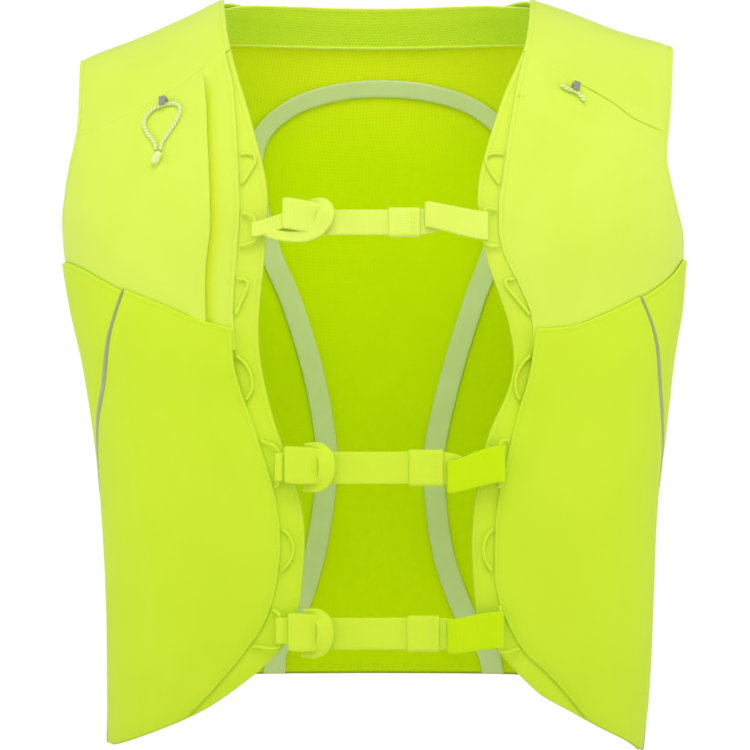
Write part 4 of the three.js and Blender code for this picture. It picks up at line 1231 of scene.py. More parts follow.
def ripple(cloth, name, shift=0):
    """Soft unevenness, drawn out along an angle in degrees from upright."""
    height, length, angle, seed, reach = RIPPLES[name]
    seed = seed + shift
    turn = math.radians(angle)
    across = cloth.x * math.cos(turn) + cloth.z * math.sin(turn)
    along = (cloth.z * math.cos(turn) - cloth.x * math.sin(turn)) / length
    bends = 0.8 * np.sin(along * 1.7 + 2 * seed), np.sin(along * 2.3 + seed)
    first = np.sin(2 * math.pi * across / length + seed + bends[0])
    second = np.sin(2 * math.pi * across / (SHORT_WAVE["length"] * length) + 2.3 * seed + bends[1])
    waves = (first + SHORT_WAVE["weight"] * second) / (1 + SHORT_WAVE["weight"])
    third = np.sin(2 * math.pi * along / SWELL["length"] + 1.1 * seed)
    swell = 1 - SWELL["weight"] + SWELL["weight"] * third
    return height * calm(cloth, reach) * waves * swell


def fullness(cloth, name):
    height, reach = FULLNESS[name]
    return height * calm(cloth, reach)


def bound_edge(distance, hem):
    """Rolled edge: a low bead along the hem with a fine groove behind it."""
    width, height = HEMS[hem]
    bead = height * (1 - ease(BEAD_REACH[0] * width, BEAD_REACH[1] * width, distance))
    from_groove = (distance - GROOVE["place"] * width) / (GROOVE["width"] * width)
    groove = -GROOVE["depth"] * height * np.exp(-(from_groove ** 2))
    turn_down = -RIM_TURN["depth"] * (1 - ease(0, RIM_TURN["reach"], distance)) ** 2
    return bead + groove + turn_down


def sewn(cloth, names, reach=10.0):
    """How far a layer is drawn down to the cloth beneath it along its sewn edges."""
    return SEWN_DROP * (1 - ease(SEWN_FLAT, reach, cloth.from_edges(names)))


# Back with its facing and tape


def back_spot(x, z, lift=0.0):
    """Spot on the back, by its distance to the left (-) or right (+) of the middle and its height."""
    return spot_of("left" if x < 0 else "right", at(abs(x), z, True), lift)


def across_neck(table, half_width, lift=0.0, from_shoulders=False):
    """Edge from the right shoulder to the left, across the back of the neck."""
    places = half_width * np.concatenate([NECK_PLACES, [0], -NECK_PLACES[::-1]])
    heights = smooth_value(table, "x", "z", np.abs(places))
    spots = [back_spot(x, z, lift) for x, z in zip(places, heights)]
    if from_shoulders:
        spots[0][1] = SEAM_GAP / 2
        spots[-1][1] = SEAM_GAP / 2
    return smooth_edge(spots)


def back_hem_spots(side, start, step):
    """Spots along one half of the back hem, from an angle towards the middle of the back."""
    turns = np.arange(start, 180, step)
    heights = smooth_value(BACK_HEM, "turn", "z", turns)
    return [spot_of(side, wrap(turn, z)) for turn, z in zip(turns, heights)]


def back_side_edge(side):
    outline = OUTLINES[side]
    tip = spot_of(side, {**outline["armhole"][0], "back": True})
    tip[1] = SEAM_GAP / 2
    armhole = smooth_edge([tip] + [spot_of(side, row) for row in reversed(BACK_ARMHOLE)])
    seam_top = wrap(SIDE_SEAM_TURN, outline["armhole"][-1]["z"] - 1)
    seam = outline_edge(side, [seam_top, outline["hem"][-1]])
    return shift_edge(chain_edges(armhole, seam, SHARE_OF_ARMHOLE), SIDES[side] * SEAM_GAP)


def level_hem(cloth):
    """Back cloth with its lowest rows moved on to the hem line."""
    spots = [spot for side in SIDES for spot in back_hem_spots(side, SIDE_SEAM_TURN, HEM_FINE_STEP)]
    rows = body_points(np.array(spots))
    x, _y, z = rows[np.argsort(rows[:, 0], kind="stable")].T
    shift = np.interp(cloth.x[-1], x, z) - cloth.z[-1]
    points = cloth.points.copy()
    points[..., 2] += shift[None] * (1 - ease(0, HEM_SHIFT_REACH, cloth.from_bottom))
    return Cloth(points, cloth.normals)


def shoulder_level(first, second):
    ends = np.array([first, second])
    ends[:, 1] = SEAM_GAP / 2
    return smooth_edge(ends)


def make_back():
    start, end = back_side_edge("right"), back_side_edge("left")
    neckline = across_neck(NECKLINE, NECK_HALF_WIDTH, from_shoulders=True)
    right_shoulder = shoulder_level(one(start, 0), one(neckline, 0))
    left_shoulder = shoulder_level(one(neckline, 1), one(end, 0))
    top = chain_edges(right_shoulder, chain_edges(neckline, left_shoulder, 2 / 3), 1 / 4)
    middle = spot_of("right", wrap(180, BACK_HEM["z"][-1]))
    right_hem, left_hem = [
        back_hem_spots(side, SIDE_SEAM_TURN + BACK_HEM_STEP, BACK_HEM_STEP) for side in ("right", "left")
    ]
    bottom = smooth_edge([one(start, 1), *right_hem, middle, *left_hem[::-1], one(end, 1)])
    cloth = level_hem(cut_patch(top, bottom, start, end, step=3.6))
    relief = ripple(cloth, "back")
    rim = bound_edge(cloth.from_edges("top bottom"), "back")
    back = make_sheet(
        "back_cloth", "back_panel", "mesh", MESH, cloth, relief, PANEL_WALL + relief + rim,
        fold=1 - ease(0.2, 1.3, cloth.from_bottom), sewing="back",
        seams=[("bottom", 4, -4), ("start", 18, -4), ("end", 18, -4)])
    stitch_rows["back"].append(seam_line(cloth, relief, "bottom", 4.6, (4, -4), -1))

    facing_top = across_neck(NECKLINE, FACING_HALF_WIDTH, -SEAM_GAP - TRIM_WALL)
    foot = across_neck(FACING_FOOT, FACING_HALF_WIDTH)
    facing = cut_patch(
        facing_top, foot, smooth_edge([one(facing_top, 0), one(foot, 0)]),
        smooth_edge([one(facing_top, 1), one(foot, 1)]), step=2.5)
    outer = -SEAM_GAP - (INSIDE_GAP - SEAM_GAP) * ease(1, 14, facing.from_top)
    inner = outer - TRIM_WALL - bound_edge(facing.from_edges("bottom"), "facing")
    bound = 1 - ease(1.3, 2.6, facing.from_edges("top bottom"))
    make_sheet(
        "back_facing", "back_neck_facing", "mesh", FACING, facing, inner, outer, bound)
    stitch_rows["back"].append(seam_line(facing, inner, "bottom", 1.2, (2, -2), -1))


def trim_to_height(points, lowest):
    """Ribbon with both ends cut level at a height, each column drawn up along its own length."""
    trimmed = points.copy()
    runs = run_lengths(points)
    for column in range(points.shape[1]):
        heights = points[:, column, 2]
        inside = np.flatnonzero(heights > lowest)
        ends = []
        for kept, cut in ((inside[0], inside[0] - 1), (inside[-1], inside[-1] + 1)):
            share = (lowest - heights[kept]) / (heights[cut] - heights[kept])
            ends.append(runs[kept, column] + share * (runs[cut, column] - runs[kept, column]))
        reach = np.linspace(*ends, len(points))
        for axis in range(3):
            trimmed[:, column, axis] = np.interp(reach, runs[:, column], points[:, column, axis])
    return trimmed


def make_tape():
    left = np.stack([-TAPE_ARMS["left"], TAPE_ARMS["z"]], 1)
    right = np.stack([TAPE_ARMS["right"], TAPE_ARMS["z"]], 1)
    arch = smooth_edge([*left[::-1], TAPE_CROWN, *right])(np.linspace(0, 1, TAPE_ROWS))
    spots = np.array([back_spot(x, z) for x, z in arch])
    widths = np.interp(arch[:, 1], TAPE_WIDTHS["z"], TAPE_WIDTHS["width"])
    ribbon = cut_ribbon(body_points(spots), body_normals(spots), widths, TAPE_COLUMNS)
    cloth = Cloth(trim_to_height(ribbon.points, TAPE_FOOT), ribbon.normals)
    off_edge = ease(0, TAPE_BEVEL["width"], cloth.from_edges("start end"))
    make_sheet(
        "back_tape_arch", "back_tape", "tape", TAPE, cloth,
        -INSIDE_GAP - TRIM_WALL + TAPE_BEVEL["depth"] * (1 - off_edge), -INSIDE_GAP)


make_back()
make_tape()

# Fronts: base cloth, yoke, zip and pockets

ZIP_WIDTH = 3
ZIP_LIFT = PANEL_WALL + 0.1
ZIP_WALL = 0.7
ZIP_SEAM = 0.8
ZIP_REACH = (0.02, 0.97)
ZIP_ROWS = 90
ZIP_COLUMNS = 11
ZIP_GROOVE = {"depth": 0.3, "width": 0.35}
ZIP_TEETH = {"height": 0.08, "pitch": 1.6, "reach": (0.5, 1.0)}
ZIP_FOLD = {"left": 0.1, "right": 0.9}
ZIP_FOLD_SPAN = (112, 128, 164, 180)
RIGHT_BULGE = {"height": 0.8, "span": (116, 132, 160, 176), "from_zip": 9, "width": 4}
YOKE_BACK_LENGTH = -14
YOKE_SHARE = 2 / 9
YOKE_ZIP_SHARES = [0.06, 0.2, 0.35, 0.5, 0.65, 0.8, 0.94]
CHEST_SIDE_SHARES = [0.12, 0.25, 0.38, 0.5, 0.62, 0.75, 0.88, 0.97]
SLOT_OVERLAP = 0.8
SLOT_END_GAP = 0.3
SLOT_LIP = 1.45
SLOT_TUCK = 0.5
POCKET_OVERLAP = 13
POCKET_STAND_OFF = POCKET_WALL + LAYER_GAP
CHEST_FOOT_REACH = 0.92
BAR_TACK = {"place": (86.4, -67.4), "length": 4.2, "points": 5, "rises": (-0.6, -0.2, 0.2, 0.6)}
SIDE_HEM_INSET = 0.6
SIDE_SEAM_INSET = 2
OPENING_SHARES = (0.08, 0.22)


def within(value, span):
    """1 in the middle of a span of four values, and 0 outside it."""
    rise_from, rise_to, fall_from, fall_to = span
    return ease(rise_from, rise_to, value) * (1 - ease(fall_from, fall_to, value))


def spots_along(edge, shares):
    return [one(edge, share) for share in shares]


def make_outer_sheet(name, node, material, side, cloth, lift, rim, seams, fold=None):
    """Outer layer of a front, lifted off its base cloth."""
    make_sheet(
        name, node, "shell", material, cloth, OUTER_LIFT + lift, OUTER_FACE + lift + rim,
        fold, side, seams)


def make_front_base(side):
    outline = OUTLINES[side]
    start = below_seam(outline_edge(side, outline["open_edge"], PANEL_WALL))
    armhole = below_seam(outline_edge(side, outline["armhole"], PANEL_WALL))
    bottom = outline_edge(side, outline["hem"], PANEL_WALL)
    end = chain_edges(armhole, smooth_edge([one(armhole, 1), one(bottom, 1)]), SHARE_OF_ARMHOLE)
    top = smooth_edge([one(start, 0), one(end, 0)])
    cloth = cut_patch(top, bottom, start, end)
    rim = bound_edge(cloth.from_edges("start bottom end"), "base")
    make_sheet(
        f"front_base_{side}", f"front_panel_{side}", "shell", SHELL_BASE, cloth, 0, PANEL_WALL + rim,
        sewing=side, seams=[("start", 50, -4), ("bottom", 4, 34)])


def make_yoke(side):
    outline = OUTLINES[side]
    zip_line = outline_edge(side, outline["zip"], OUTER_FACE)
    flap = shift_edge(zip_line, 0, ZIP_SEAM - SEAM_GAP / 2)
    open_edge = outline_edge(side, outline["open_edge"], OUTER_FACE)
    armhole = outline_edge(side, outline["armhole"], OUTER_FACE)
    inner = part_of_edge(open_edge, 0, share_at_length(open_edge, one(flap, 0)[1]))
    outer = part_of_edge(armhole, 0, share_at_length(armhole, one(flap, 1)[1]))

    def over_shoulder(edge):
        behind = one(edge, 0).copy()
        behind[1] = YOKE_BACK_LENGTH
        return chain_edges(smooth_edge([behind, one(edge, 0)]), edge, YOKE_SHARE)

    start, end = over_shoulder(inner), over_shoulder(outer)
    top = smooth_edge([one(start, 0), one(end, 0)])
    bottom = smooth_edge([one(start, 1), *spots_along(flap, YOKE_ZIP_SHARES), one(end, 1)])
    cloth = cut_patch(top, bottom, start, end, step=2.6)
    open_part = within(np.abs(cloth.x), ZIP_FOLD_SPAN)
    lift = ZIP_FOLD[side] * open_part * (1 - ease(1, 9, cloth.from_bottom))
    lift = lift + ripple(cloth, "yoke") - sewn(cloth, "top start end")
    make_outer_sheet(
        f"yoke_{side}", f"shoulder_yoke_{side}", SHELL_PAINTED_LIGHT, side, cloth, lift,
        bound_edge(cloth.from_edges("top start end"), "yoke"),
        [("start", 3, -3), ("end", 3, -3), ("top", 3, -3)])


def make_zip(side):
    line = part_of_edge(outline_edge(side, OUTLINES[side]["zip"], OUTER_FACE), *ZIP_REACH)
    spots = line(np.linspace(0, 1, ZIP_ROWS))
    cloth = cut_ribbon(body_points(spots), body_normals(spots), ZIP_WIDTH, ZIP_COLUMNS)
    off_middle = np.abs(cloth.from_start - ZIP_WIDTH / 2)
    groove = -ZIP_GROOVE["depth"] * np.exp(-((off_middle / ZIP_GROOVE["width"]) ** 2))
    teeth = ZIP_TEETH["height"] * np.sin(2 * math.pi * cloth.from_top / ZIP_TEETH["pitch"])
    relief = groove + teeth * (1 - ease(*ZIP_TEETH["reach"], off_middle))
    geometry = sheet_geometry(cloth, ZIP_LIFT, ZIP_LIFT + ZIP_WALL + relief)
    dress(make_object(f"zip_{side}", *geometry, SHELL), "shell", f"chest_zip_{side}")


def bar_tack(cloth, face):
    """Short bar of close stitches at the top of the chest pocket's inner edge."""
    x, z = BAR_TACK["place"]
    nearest = np.argmin((cloth.x - x) ** 2 + (cloth.z - z) ** 2)
    out = cloth.normals.reshape(-1, 3)[nearest]
    middle = cloth.points.reshape(-1, 3)[nearest] + out * face.ravel()[nearest]
    level = unit(np.cross(UP, out))
    up = np.cross(out, level)
    for rise in BAR_TACK["rises"]:
        line = middle + up * rise + out * STITCH_LIFT
        reach = np.linspace(-0.5, 0.5, BAR_TACK["points"])[:, None] * BAR_TACK["length"]
        stitch_rows["right"].append((line + reach * level, np.repeat(out[None], len(reach), axis=0)))


def slot_edge(overlap):
    """Edge by the slot, past its line by the overlap but short of it at the top, where the slot ends."""
    line = outline_edge("left", SLOT_LINE, OUTER_FACE)
    short = -math.copysign(SLOT_END_GAP, overlap)

    def edge(shares):
        past = np.where(np.asarray(shares, float) > 0, overlap, short)
        return line(shares) + np.stack([SIDES["left"] * past, np.zeros_like(past)], -1)

    return edge


def chest_side(edge, first, last):
    """Side of a chest piece that keeps to an edge between its two corners."""
    return smooth_edge([first, *spots_along(edge, CHEST_SIDE_SHARES), last])


def chest_edges(side):
    """Edges by the zip and beneath the lower pocket, and the inner edge of the chest pocket."""
    outline = OUTLINES[side]
    zip_line = outline_edge(side, outline["zip"], OUTER_FACE)
    opening = outline_edge(side, outline["pocket_opening"] + outline["side_opening"][1:3], OUTER_FACE)
    return (
        shift_edge(zip_line, 0, ZIP_SEAM + SEAM_GAP / 2), shift_edge(opening, 0, POCKET_OVERLAP),
        outline_edge(side, outline["chest_edge"], OUTER_FACE),
    )


def make_chest_pocket(side):
    zip_line, foot, chest_edge = chest_edges(side)
    armhole = outline_edge(side, OUTLINES[side]["armhole"], OUTER_FACE)
    has_slot = side == "left"
    outer_top = share_at_length(armhole, one(zip_line, 1)[1])
    outer_foot = share_at_length(armhole, one(foot, 1)[1] - POCKET_OVERLAP)
    outer_edge = part_of_edge(armhole, outer_top, outer_foot)
    inner = slot_edge(-SLOT_OVERLAP) if has_slot else chest_edge
    top_from = share_at_girth(zip_line, one(inner, 0)[0]) if has_slot else 0
    foot_from = share_at_girth(foot, one(inner, 1)[0]) if has_slot else 0
    along_zip = part_of_edge(zip_line, top_from, 1)
    top = smooth_edge([*spots_along(along_zip, (0, *YOKE_ZIP_SHARES)), one(outer_edge, 0)])
    foot_part = part_of_edge(foot, foot_from, CHEST_FOOT_REACH)
    bottom = smooth_edge([*spots_along(foot_part, (0, 0.25, 0.5, 0.75)), one(outer_edge, 1)])
    start = chest_side(inner, one(top, 0), one(bottom, 0))
    end = chest_side(outer_edge, one(top, 1), one(bottom, 1))
    cloth = cut_patch(top, bottom, start, end)
    lift = ripple(cloth, "chest", SIDES[side]) + fullness(cloth, "chest")
    rim = bound_edge(cloth.from_edges("start end"), "pocket")
    seams = [("end", 3, -17)]
    if has_slot:
        lip = SLOT_LIP * (1 - ease(2, 15, cloth.from_start)) * ease(2, 12, cloth.from_top)
        lift = lift - sewn(cloth, "end") + lip
    else:
        below_zip = np.exp(-(((cloth.from_top - RIGHT_BULGE["from_zip"]) / RIGHT_BULGE["width"]) ** 2))
        bulge = RIGHT_BULGE["height"] * within(cloth.x, RIGHT_BULGE["span"]) * below_zip
        lift = lift - sewn(cloth, "start end") + bulge
        seams.append(("start", 4, -17))
    make_outer_sheet(
        f"chest_cloth_{side}", f"chest_pocket_{side}", SHELL_PAINTED_LIGHT, side, cloth, lift, rim, seams)
    if not has_slot:
        bar_tack(cloth, OUTER_FACE + lift + rim)


def make_slot_strip():
    zip_line, foot, chest_edge = chest_edges("left")
    slot = slot_edge(SLOT_OVERLAP / 2)
    top = part_of_edge(zip_line, 0, share_at_girth(zip_line, one(slot, 0)[0]))
    bottom = part_of_edge(foot, 0, share_at_girth(foot, one(slot, 1)[0]))
    start = chest_side(chest_edge, one(top, 0), one(bottom, 0))
    end = chest_side(slot, one(top, 1), one(bottom, 1))
    cloth = cut_patch(top, bottom, start, end, step=2.5)
    lift = SLOT_TUCK * ease(2, 7, cloth.from_end) * calm(cloth, (2, 12), "top bottom start")
    lift = lift - SLOT_TUCK * (1 - ease(5, 10, cloth.from_end)) * ease(2, 12, cloth.from_top)
    lift = lift - sewn(cloth, "start", 7)
    # Painted shade inside the slot, deepest by the slot's edge and fading in from the top.
    depth = np.exp(-((cloth.from_end / 7) ** 2)) * ease(8, 26, cloth.from_top)
    make_outer_sheet(
        "slot_strip", "slot_strip_left", SHELL_PAINTED_LIGHT, "left", cloth, lift,
        bound_edge(cloth.from_start, "strip"), [("start", 4, -17)], depth)


PIPING_GAP = 0.6
PIPING_WALL = 0.8
PIPING_ROWS = 150
PIPING_COLUMNS = 13
PIPING_WIDTHS = named_table("share width", [
    (0, 1.6), (0.09, 3), (0.17, 4.8), (0.28, 6.4), (0.42, 5.8), (0.58, 4), (1, 3),
])


def piping_width(shares):
    return smooth_value(PIPING_WIDTHS, "share", "width", shares)


def beside_piping(side, way):
    """Edge that runs just beside the piping, on its front (-1) or back (1) side."""
    line = outline_edge(side, OUTLINES[side]["piping"], OUTER_FACE)

    def edge(shares):
        away = way * SIDES[side] * (piping_width(shares) / 2 + PIPING_GAP)
        return line(shares) + np.stack([away, np.zeros_like(away)], -1)

    return edge


def stand_off(closed, drop):
    """How far a lower pocket stands off the chest pocket by its opening, and is sewn down below it."""
    return POCKET_STAND_OFF * (1 - closed) - drop * closed


def closed_part(cloth):
    """0 by a pocket's opening and 1 where it is sewn all round."""
    return ease(*OPENING_SHARES, cloth.from_top / np.maximum(cloth.from_top[-1:], 1))


def pocket_rim(cloth):
    """Sewn edges of a lower pocket and the fuller hem of its opening."""
    sewn_edges = bound_edge(cloth.from_edges("start bottom end"), "pocket")
    return sewn_edges + bound_edge(cloth.from_top, "opening")


def make_lower_pocket(side):
    outline = OUTLINES[side]
    start = outline_edge(side, outline["lower_edge"], OUTER_FACE)
    end = beside_piping(side, -1)
    opening = outline_edge(side, outline["pocket_opening"], OUTER_FACE)
    top = smooth_edge([one(start, 0), *spots_along(opening, (0.3, 0.65)), one(end, 0)])
    hem = outline_edge(side, outline["hem"], OUTER_FACE)
    corners = [one(start, 1), one(end, 1)]
    shares = [share_at_girth(hem, corner[0]) for corner in corners]
    insets = [one(hem, share) - corner for share, corner in zip(shares, corners)]
    along = [
        one(hem, shares[0] + part * (shares[1] - shares[0])) - insets[0] * (1 - part) - insets[1] * part
        for part in (0.25, 0.5, 0.75)
    ]
    bottom = smooth_edge([corners[0], *along, corners[1]])
    cloth = cut_patch(top, bottom, start, end)
    lift = stand_off(closed_part(cloth), sewn(cloth, "start bottom end"))
    lift = lift + fullness(cloth, "lower") + ripple(cloth, "lower", SIDES[side])
    make_outer_sheet(
        f"lower_cloth_{side}", f"lower_pocket_{side}", SHELL, side, cloth, lift, pocket_rim(cloth),
        [("start", 3, -3), ("bottom", 3, -3)])


def make_side_panel(side):
    outline = OUTLINES[side]
    start = beside_piping(side, 1)
    opening = outline_edge(side, outline["side_opening"], OUTER_FACE)
    hem = outline_edge(side, outline["hem"], OUTER_FACE)
    inset = shift_edge(hem, -SIDES[side] * SIDE_SEAM_INSET, -SIDE_HEM_INSET)
    end = smooth_edge([one(opening, 1), one(inset, 1)])
    top = smooth_edge([one(start, 0), *spots_along(opening, (0.3, 0.55, 0.8)), one(end, 0)])
    bottom = smooth_edge([one(start, 1), one(end, 1)])
    cloth = cut_patch(top, bottom, start, end)
    lift = stand_off(closed_part(cloth), sewn(cloth, "start bottom end"))
    lift = lift + ripple(cloth, "side", SIDES[side])
    make_outer_sheet(
        f"side_cloth_{side}", f"side_panel_{side}", SHELL, side, cloth, lift, pocket_rim(cloth),
        [("end", 3, -3), ("bottom", 3, -3)])


def make_piping(side):
    shares = np.linspace(0, 1, PIPING_ROWS)
    spots = outline_edge(side, OUTLINES[side]["piping"], OUTER_FACE)(shares)
    normals = body_normals(spots)
    off = stand_off(ease(*OPENING_SHARES, shares), SEWN_DROP)
    middle = body_points(spots) + off[:, None] * normals
    cloth = cut_ribbon(middle, normals, piping_width(shares), PIPING_COLUMNS)
    crown = np.sqrt(np.maximum(1 - np.linspace(-1, 1, PIPING_COLUMNS) ** 2, 0))
    geometry = sheet_geometry(cloth, OUTER_LIFT, OUTER_LIFT + PIPING_WALL + crown)
    dress(make_object(f"piping_{side}", *geometry, PIPING), "reflective", f"side_piping_{side}")


for side_name in SIDES:
    make_front_base(side_name)
    make_yoke(side_name)
    make_zip(side_name)
    make_chest_pocket(side_name)
    if side_name == "left":
        make_slot_strip()
    make_lower_pocket(side_name)
    make_side_panel(side_name)
    make_piping(side_name)

# Cord loops along the open edges

LOOP_DIAMETER = 2
LOOP_SIDES = 10
LOOP_SPACING = 0.8
LOOP_OVERHANG = 0.5
LOOP_CLEARANCE = 0.5
LOOP_TUCK = 2
LOOP_MARGIN = 1.8
LOOP_FORMS = {
    "corner": [(0.86, 0.47), (1.0, 0.33), (0.62, -0.12)],
    "bow": [(0.76, 0.31), (1.0, 0.02), (0.76, -0.29)],
}
LOOPS = [
    {"top": -102, "bottom": -120, "left": 11, "right": 12, "form": "corner"},
    {"top": -137, "bottom": -157, "left": 10, "right": 8, "form": "hooked"},
    {"top": -176, "bottom": -197, "left": 8.5, "right": 8.5, "form": "corner"},
    {"top": -221, "bottom": -247, "left": 9, "right": 7.5, "form": "bow"},
    {"top": -271, "bottom": -298, "left": 7, "right": 3.6, "form": "hooked"},
    {"top": -323, "bottom": -348, "left": 8, "right": 7, "form": "bow"},
    {"top": -371, "bottom": -393, "left": 11, "right": 6.4, "form": "hooked"},
]
STRAP_STAND_OFF = 5.4
STRAPS = {
    "top": {
        "z": -143, "height": 15, "loop": 2, "keeper": (-35, -23), "sleeve": (8, 26.4),
        "left_tab": (-53.6, 5.2, 18.5), "left_hook": (-147, 9),
        "tab_gap": 2.2, "tab_slope": (4.6, -2.2), "tab_heights": (15.6, 16.6),
    },
    "middle": {
        "z": -287, "height": 19, "loop": 5, "keeper": (-35, -23), "sleeve": (20, 40),
        "left_tab": (-52.6, 1.9, 22), "left_hook": (-286.6, 16.6),
        "tab_gap": 1.8, "tab_slope": (-5.2, 2.5), "tab_heights": (19.8, 21.6),
    },
    "bottom": {
        "z": -385, "height": 19, "loop": 7, "keeper": (-35, -24), "sleeve": (19, 37.8),
        "left_tab": (-50.6, 1.4, 22.5), "left_hook": (-383, 15.6),
        "tab_gap": 4.2, "tab_slope": (-1.4, 2.6), "tab_heights": (21, 21.8),
    },
}


def edge_column(rows, z):
    """Distance from the middle at which an outline runs at a height."""
    table = named_table("z x", [(row["z"], row["x"]) for row in rows])
    return float(smooth_value(table, "z", "x", z))


def pocket_edge_x(side, z):
    outline = OUTLINES[side]
    return edge_column(outline["chest_edge"] + outline["lower_edge"][1:], z)


def strap_depth(strap):
    """Distance in front of the body at which a strap's middle runs."""
    z = strap["z"]
    depths = []
    for side in SIDES:
        row = at(edge_column(OUTLINES[side]["open_edge"], z), z)
        depths.append(body_points(spot_of(side, row))[1])
    return min(depths) - STRAP_STAND_OFF


def hooked_webbing(side, strap):
    """Middle height and width of the webbing where it turns round its cord loop."""
    if side == "left":
        return strap["left_hook"]
    return strap["z"] + strap["tab_slope"][1], strap["tab_heights"][1]


def hooked_turns(side, loop, strap, lift):
    """Corners of a loop that is drawn out to its strap, just above and below the webbing."""
    middle, width = hooked_webbing(side, strap)
    reach = pocket_edge_x(side, middle) - loop[side]
    turns = []
    for way in (1, -1):
        point = lifted_point(side, reach, middle + way * (width / 2 + LOOP_MARGIN), lift)
        point[1] = strap_depth(strap)
        turns.append(point)
    return turns


def loop_points(side, number):
    """Path of a cord loop, from its upper end to its lower end."""
    loop = LOOPS[number - 1]
    top, bottom = loop["top"], loop["bottom"]
    lift = PANEL_WALL + LOOP_CLEARANCE + LOOP_DIAMETER / 2
    if loop["form"] == "hooked":
        strap = next(row for row in STRAPS.values() if row["loop"] == number)
        turns = hooked_turns(side, loop, strap, lift)
        top = max(top, turns[0][2] - LOOP_OVERHANG)
        bottom = min(bottom, turns[1][2] + LOOP_OVERHANG)
    else:
        turns = []
        for out, rise in LOOP_FORMS[loop["form"]]:
            z = (top + bottom) / 2 + rise * (top - bottom)
            turns.append(lifted_point(side, pocket_edge_x(side, z) - out * loop[side], z, lift))
    ends = [lifted_point(side, pocket_edge_x(side, z) - LOOP_TUCK, z, lift) for z in (top, bottom)]
    return [ends[0], *turns, ends[1]]


def make_loop(side, number):
    path = smooth_path(loop_points(side, number), LOOP_SPACING)
    geometry = tube_geometry(path, LOOP_DIAMETER / 2, LOOP_SIDES)
    piece = make_object(f"loop_{side}_{number}", *geometry, SHELL_BASE)
    dress(piece, "shell", f"edge_loop_{side}_{number}")
    return path


loop_paths = {
    (side_name, number): make_loop(side_name, number)
    for side_name in SIDES
    for number in range(1, len(LOOPS) + 1)
}

# Elastic straps

STRAP_WALL = 1.4
LEG_WALL = 1.2
WEBBING_SPACING = 0.9
KEEPER_SPACING = 0.8
SLEEVE_WALL = 1.1
SLEEVE_DEPTH = 3.8
SLEEVE_SEAMS = (3.2, 5)
HOOK_BEND = 2.7
TAB_CLEARANCE = 0.6
SLEEVE_ROOM = 1.5


def hook_point(side, number):
    """Middle of a hooked loop, where the strap turns round it."""
    path = loop_paths[side, number]
    return path[len(path) // 2]


def webbing(stations, wall=STRAP_WALL):
    """Webbing along stations of x, y, middle height and width."""
    fine = smooth_path(stations, WEBBING_SPACING)
    centres = fine[:, :3]
    ways = np.gradient(centres[:, :2], axis=0)
    fronts = unit(np.stack([ways[:, 1], -ways[:, 0], np.zeros(len(ways))], 1))
    return band_geometry(centres, np.broadcast_to(UP, centres.shape), fronts, fine[:, 3], wall)


def hook_bend(way, centre, height):
    """Half-round turn of webbing round a cord, from its front leg to its back leg."""
    x, y, z = centre
    return [
        (x + way * HOOK_BEND * math.cos(a), y + HOOK_BEND * math.sin(a), z, height)
        for a in np.linspace(-math.pi / 2, math.pi / 2, 7)
    ]


def sleeve_ring(strap, depth):
    """Closed band of webbing round a strap, with rounded ends above and below."""
    start, end = strap["sleeve"]
    radius = SLEEVE_DEPTH / 2
    straight = (strap["height"] + SLEEVE_ROOM) / 2 - radius
    upper = [
        (-radius * math.cos(a), straight + radius * math.sin(a)) for a in np.linspace(0, math.pi, 13)
    ]
    back = [(radius, rise) for rise in np.linspace(straight, -straight, 9)[1:-1]]
    half = np.array(upper + back)
    loop = np.roll(np.concatenate([half, -half]), -len(upper) - len(back) // 2, axis=0)
    middle = np.full(len(loop), (start + end) / 2)
    centres = np.stack([middle, depth + loop[:, 0], strap["z"] + loop[:, 1]], 1)
    ways = np.roll(centres, -1, axis=0) - np.roll(centres, 1, axis=0)
    levels = np.broadcast_to(LEVEL, centres.shape)
    fronts = unit(np.cross(levels, ways))
    return band_geometry(centres, levels, fronts, end - start, SLEEVE_WALL, closed=True)


KEEPER_ARC = [
    (-41, 10.6, 4.4, 7), (-36.6, 11.3, 3.0, 7.4), (-32.2, 10.6, 0.2, 8.2), (-29.2, 7.4, -2.3, 9.2),
    (-28.2, 2.1, -3.2, 9.6), (-28.6, -3.7, -3.1, 9.4), (-30.6, -8.2, -1.9, 8.4),
    (-34.6, -10.6, 1.2, 7.4), (-38.6, -11, 3.6, 6.8), (-42, -10.4, 4.6, 6.4),
]
KNOT_ROUTE = [
    (-66.5, -147.8, 1.6, 4.5), (-60, -150, 0.6, 5.5), (-50, -151.6, 0.1, 6.2), (-40, -150.6, -0.9, 7.6),
    (-32.9, -146.4, -2.4, 9), (-29.2, -140.4, -3.3, 9.8), (-28.6, -136.2, -3.0, 9.4),
    (-30.4, -133.2, -1.0, 8.4), (-34.4, -132.4, 2.2, 7.2), (-38.4, -133, 3.8, 6.4),
]


def flat_sweep(stations):
    """Webbing along stations of x, y, z and width that keeps its face to the front as it curves."""
    fine = smooth_path(stations, KEEPER_SPACING)
    centres = fine[:, :3]
    ways = unit(np.gradient(centres, axis=0))
    fronts = unit(AHEAD - ways * (ways @ AHEAD)[:, None])
    return band_geometry(centres, np.cross(fronts, ways), fronts, fine[:, 3], STRAP_WALL)


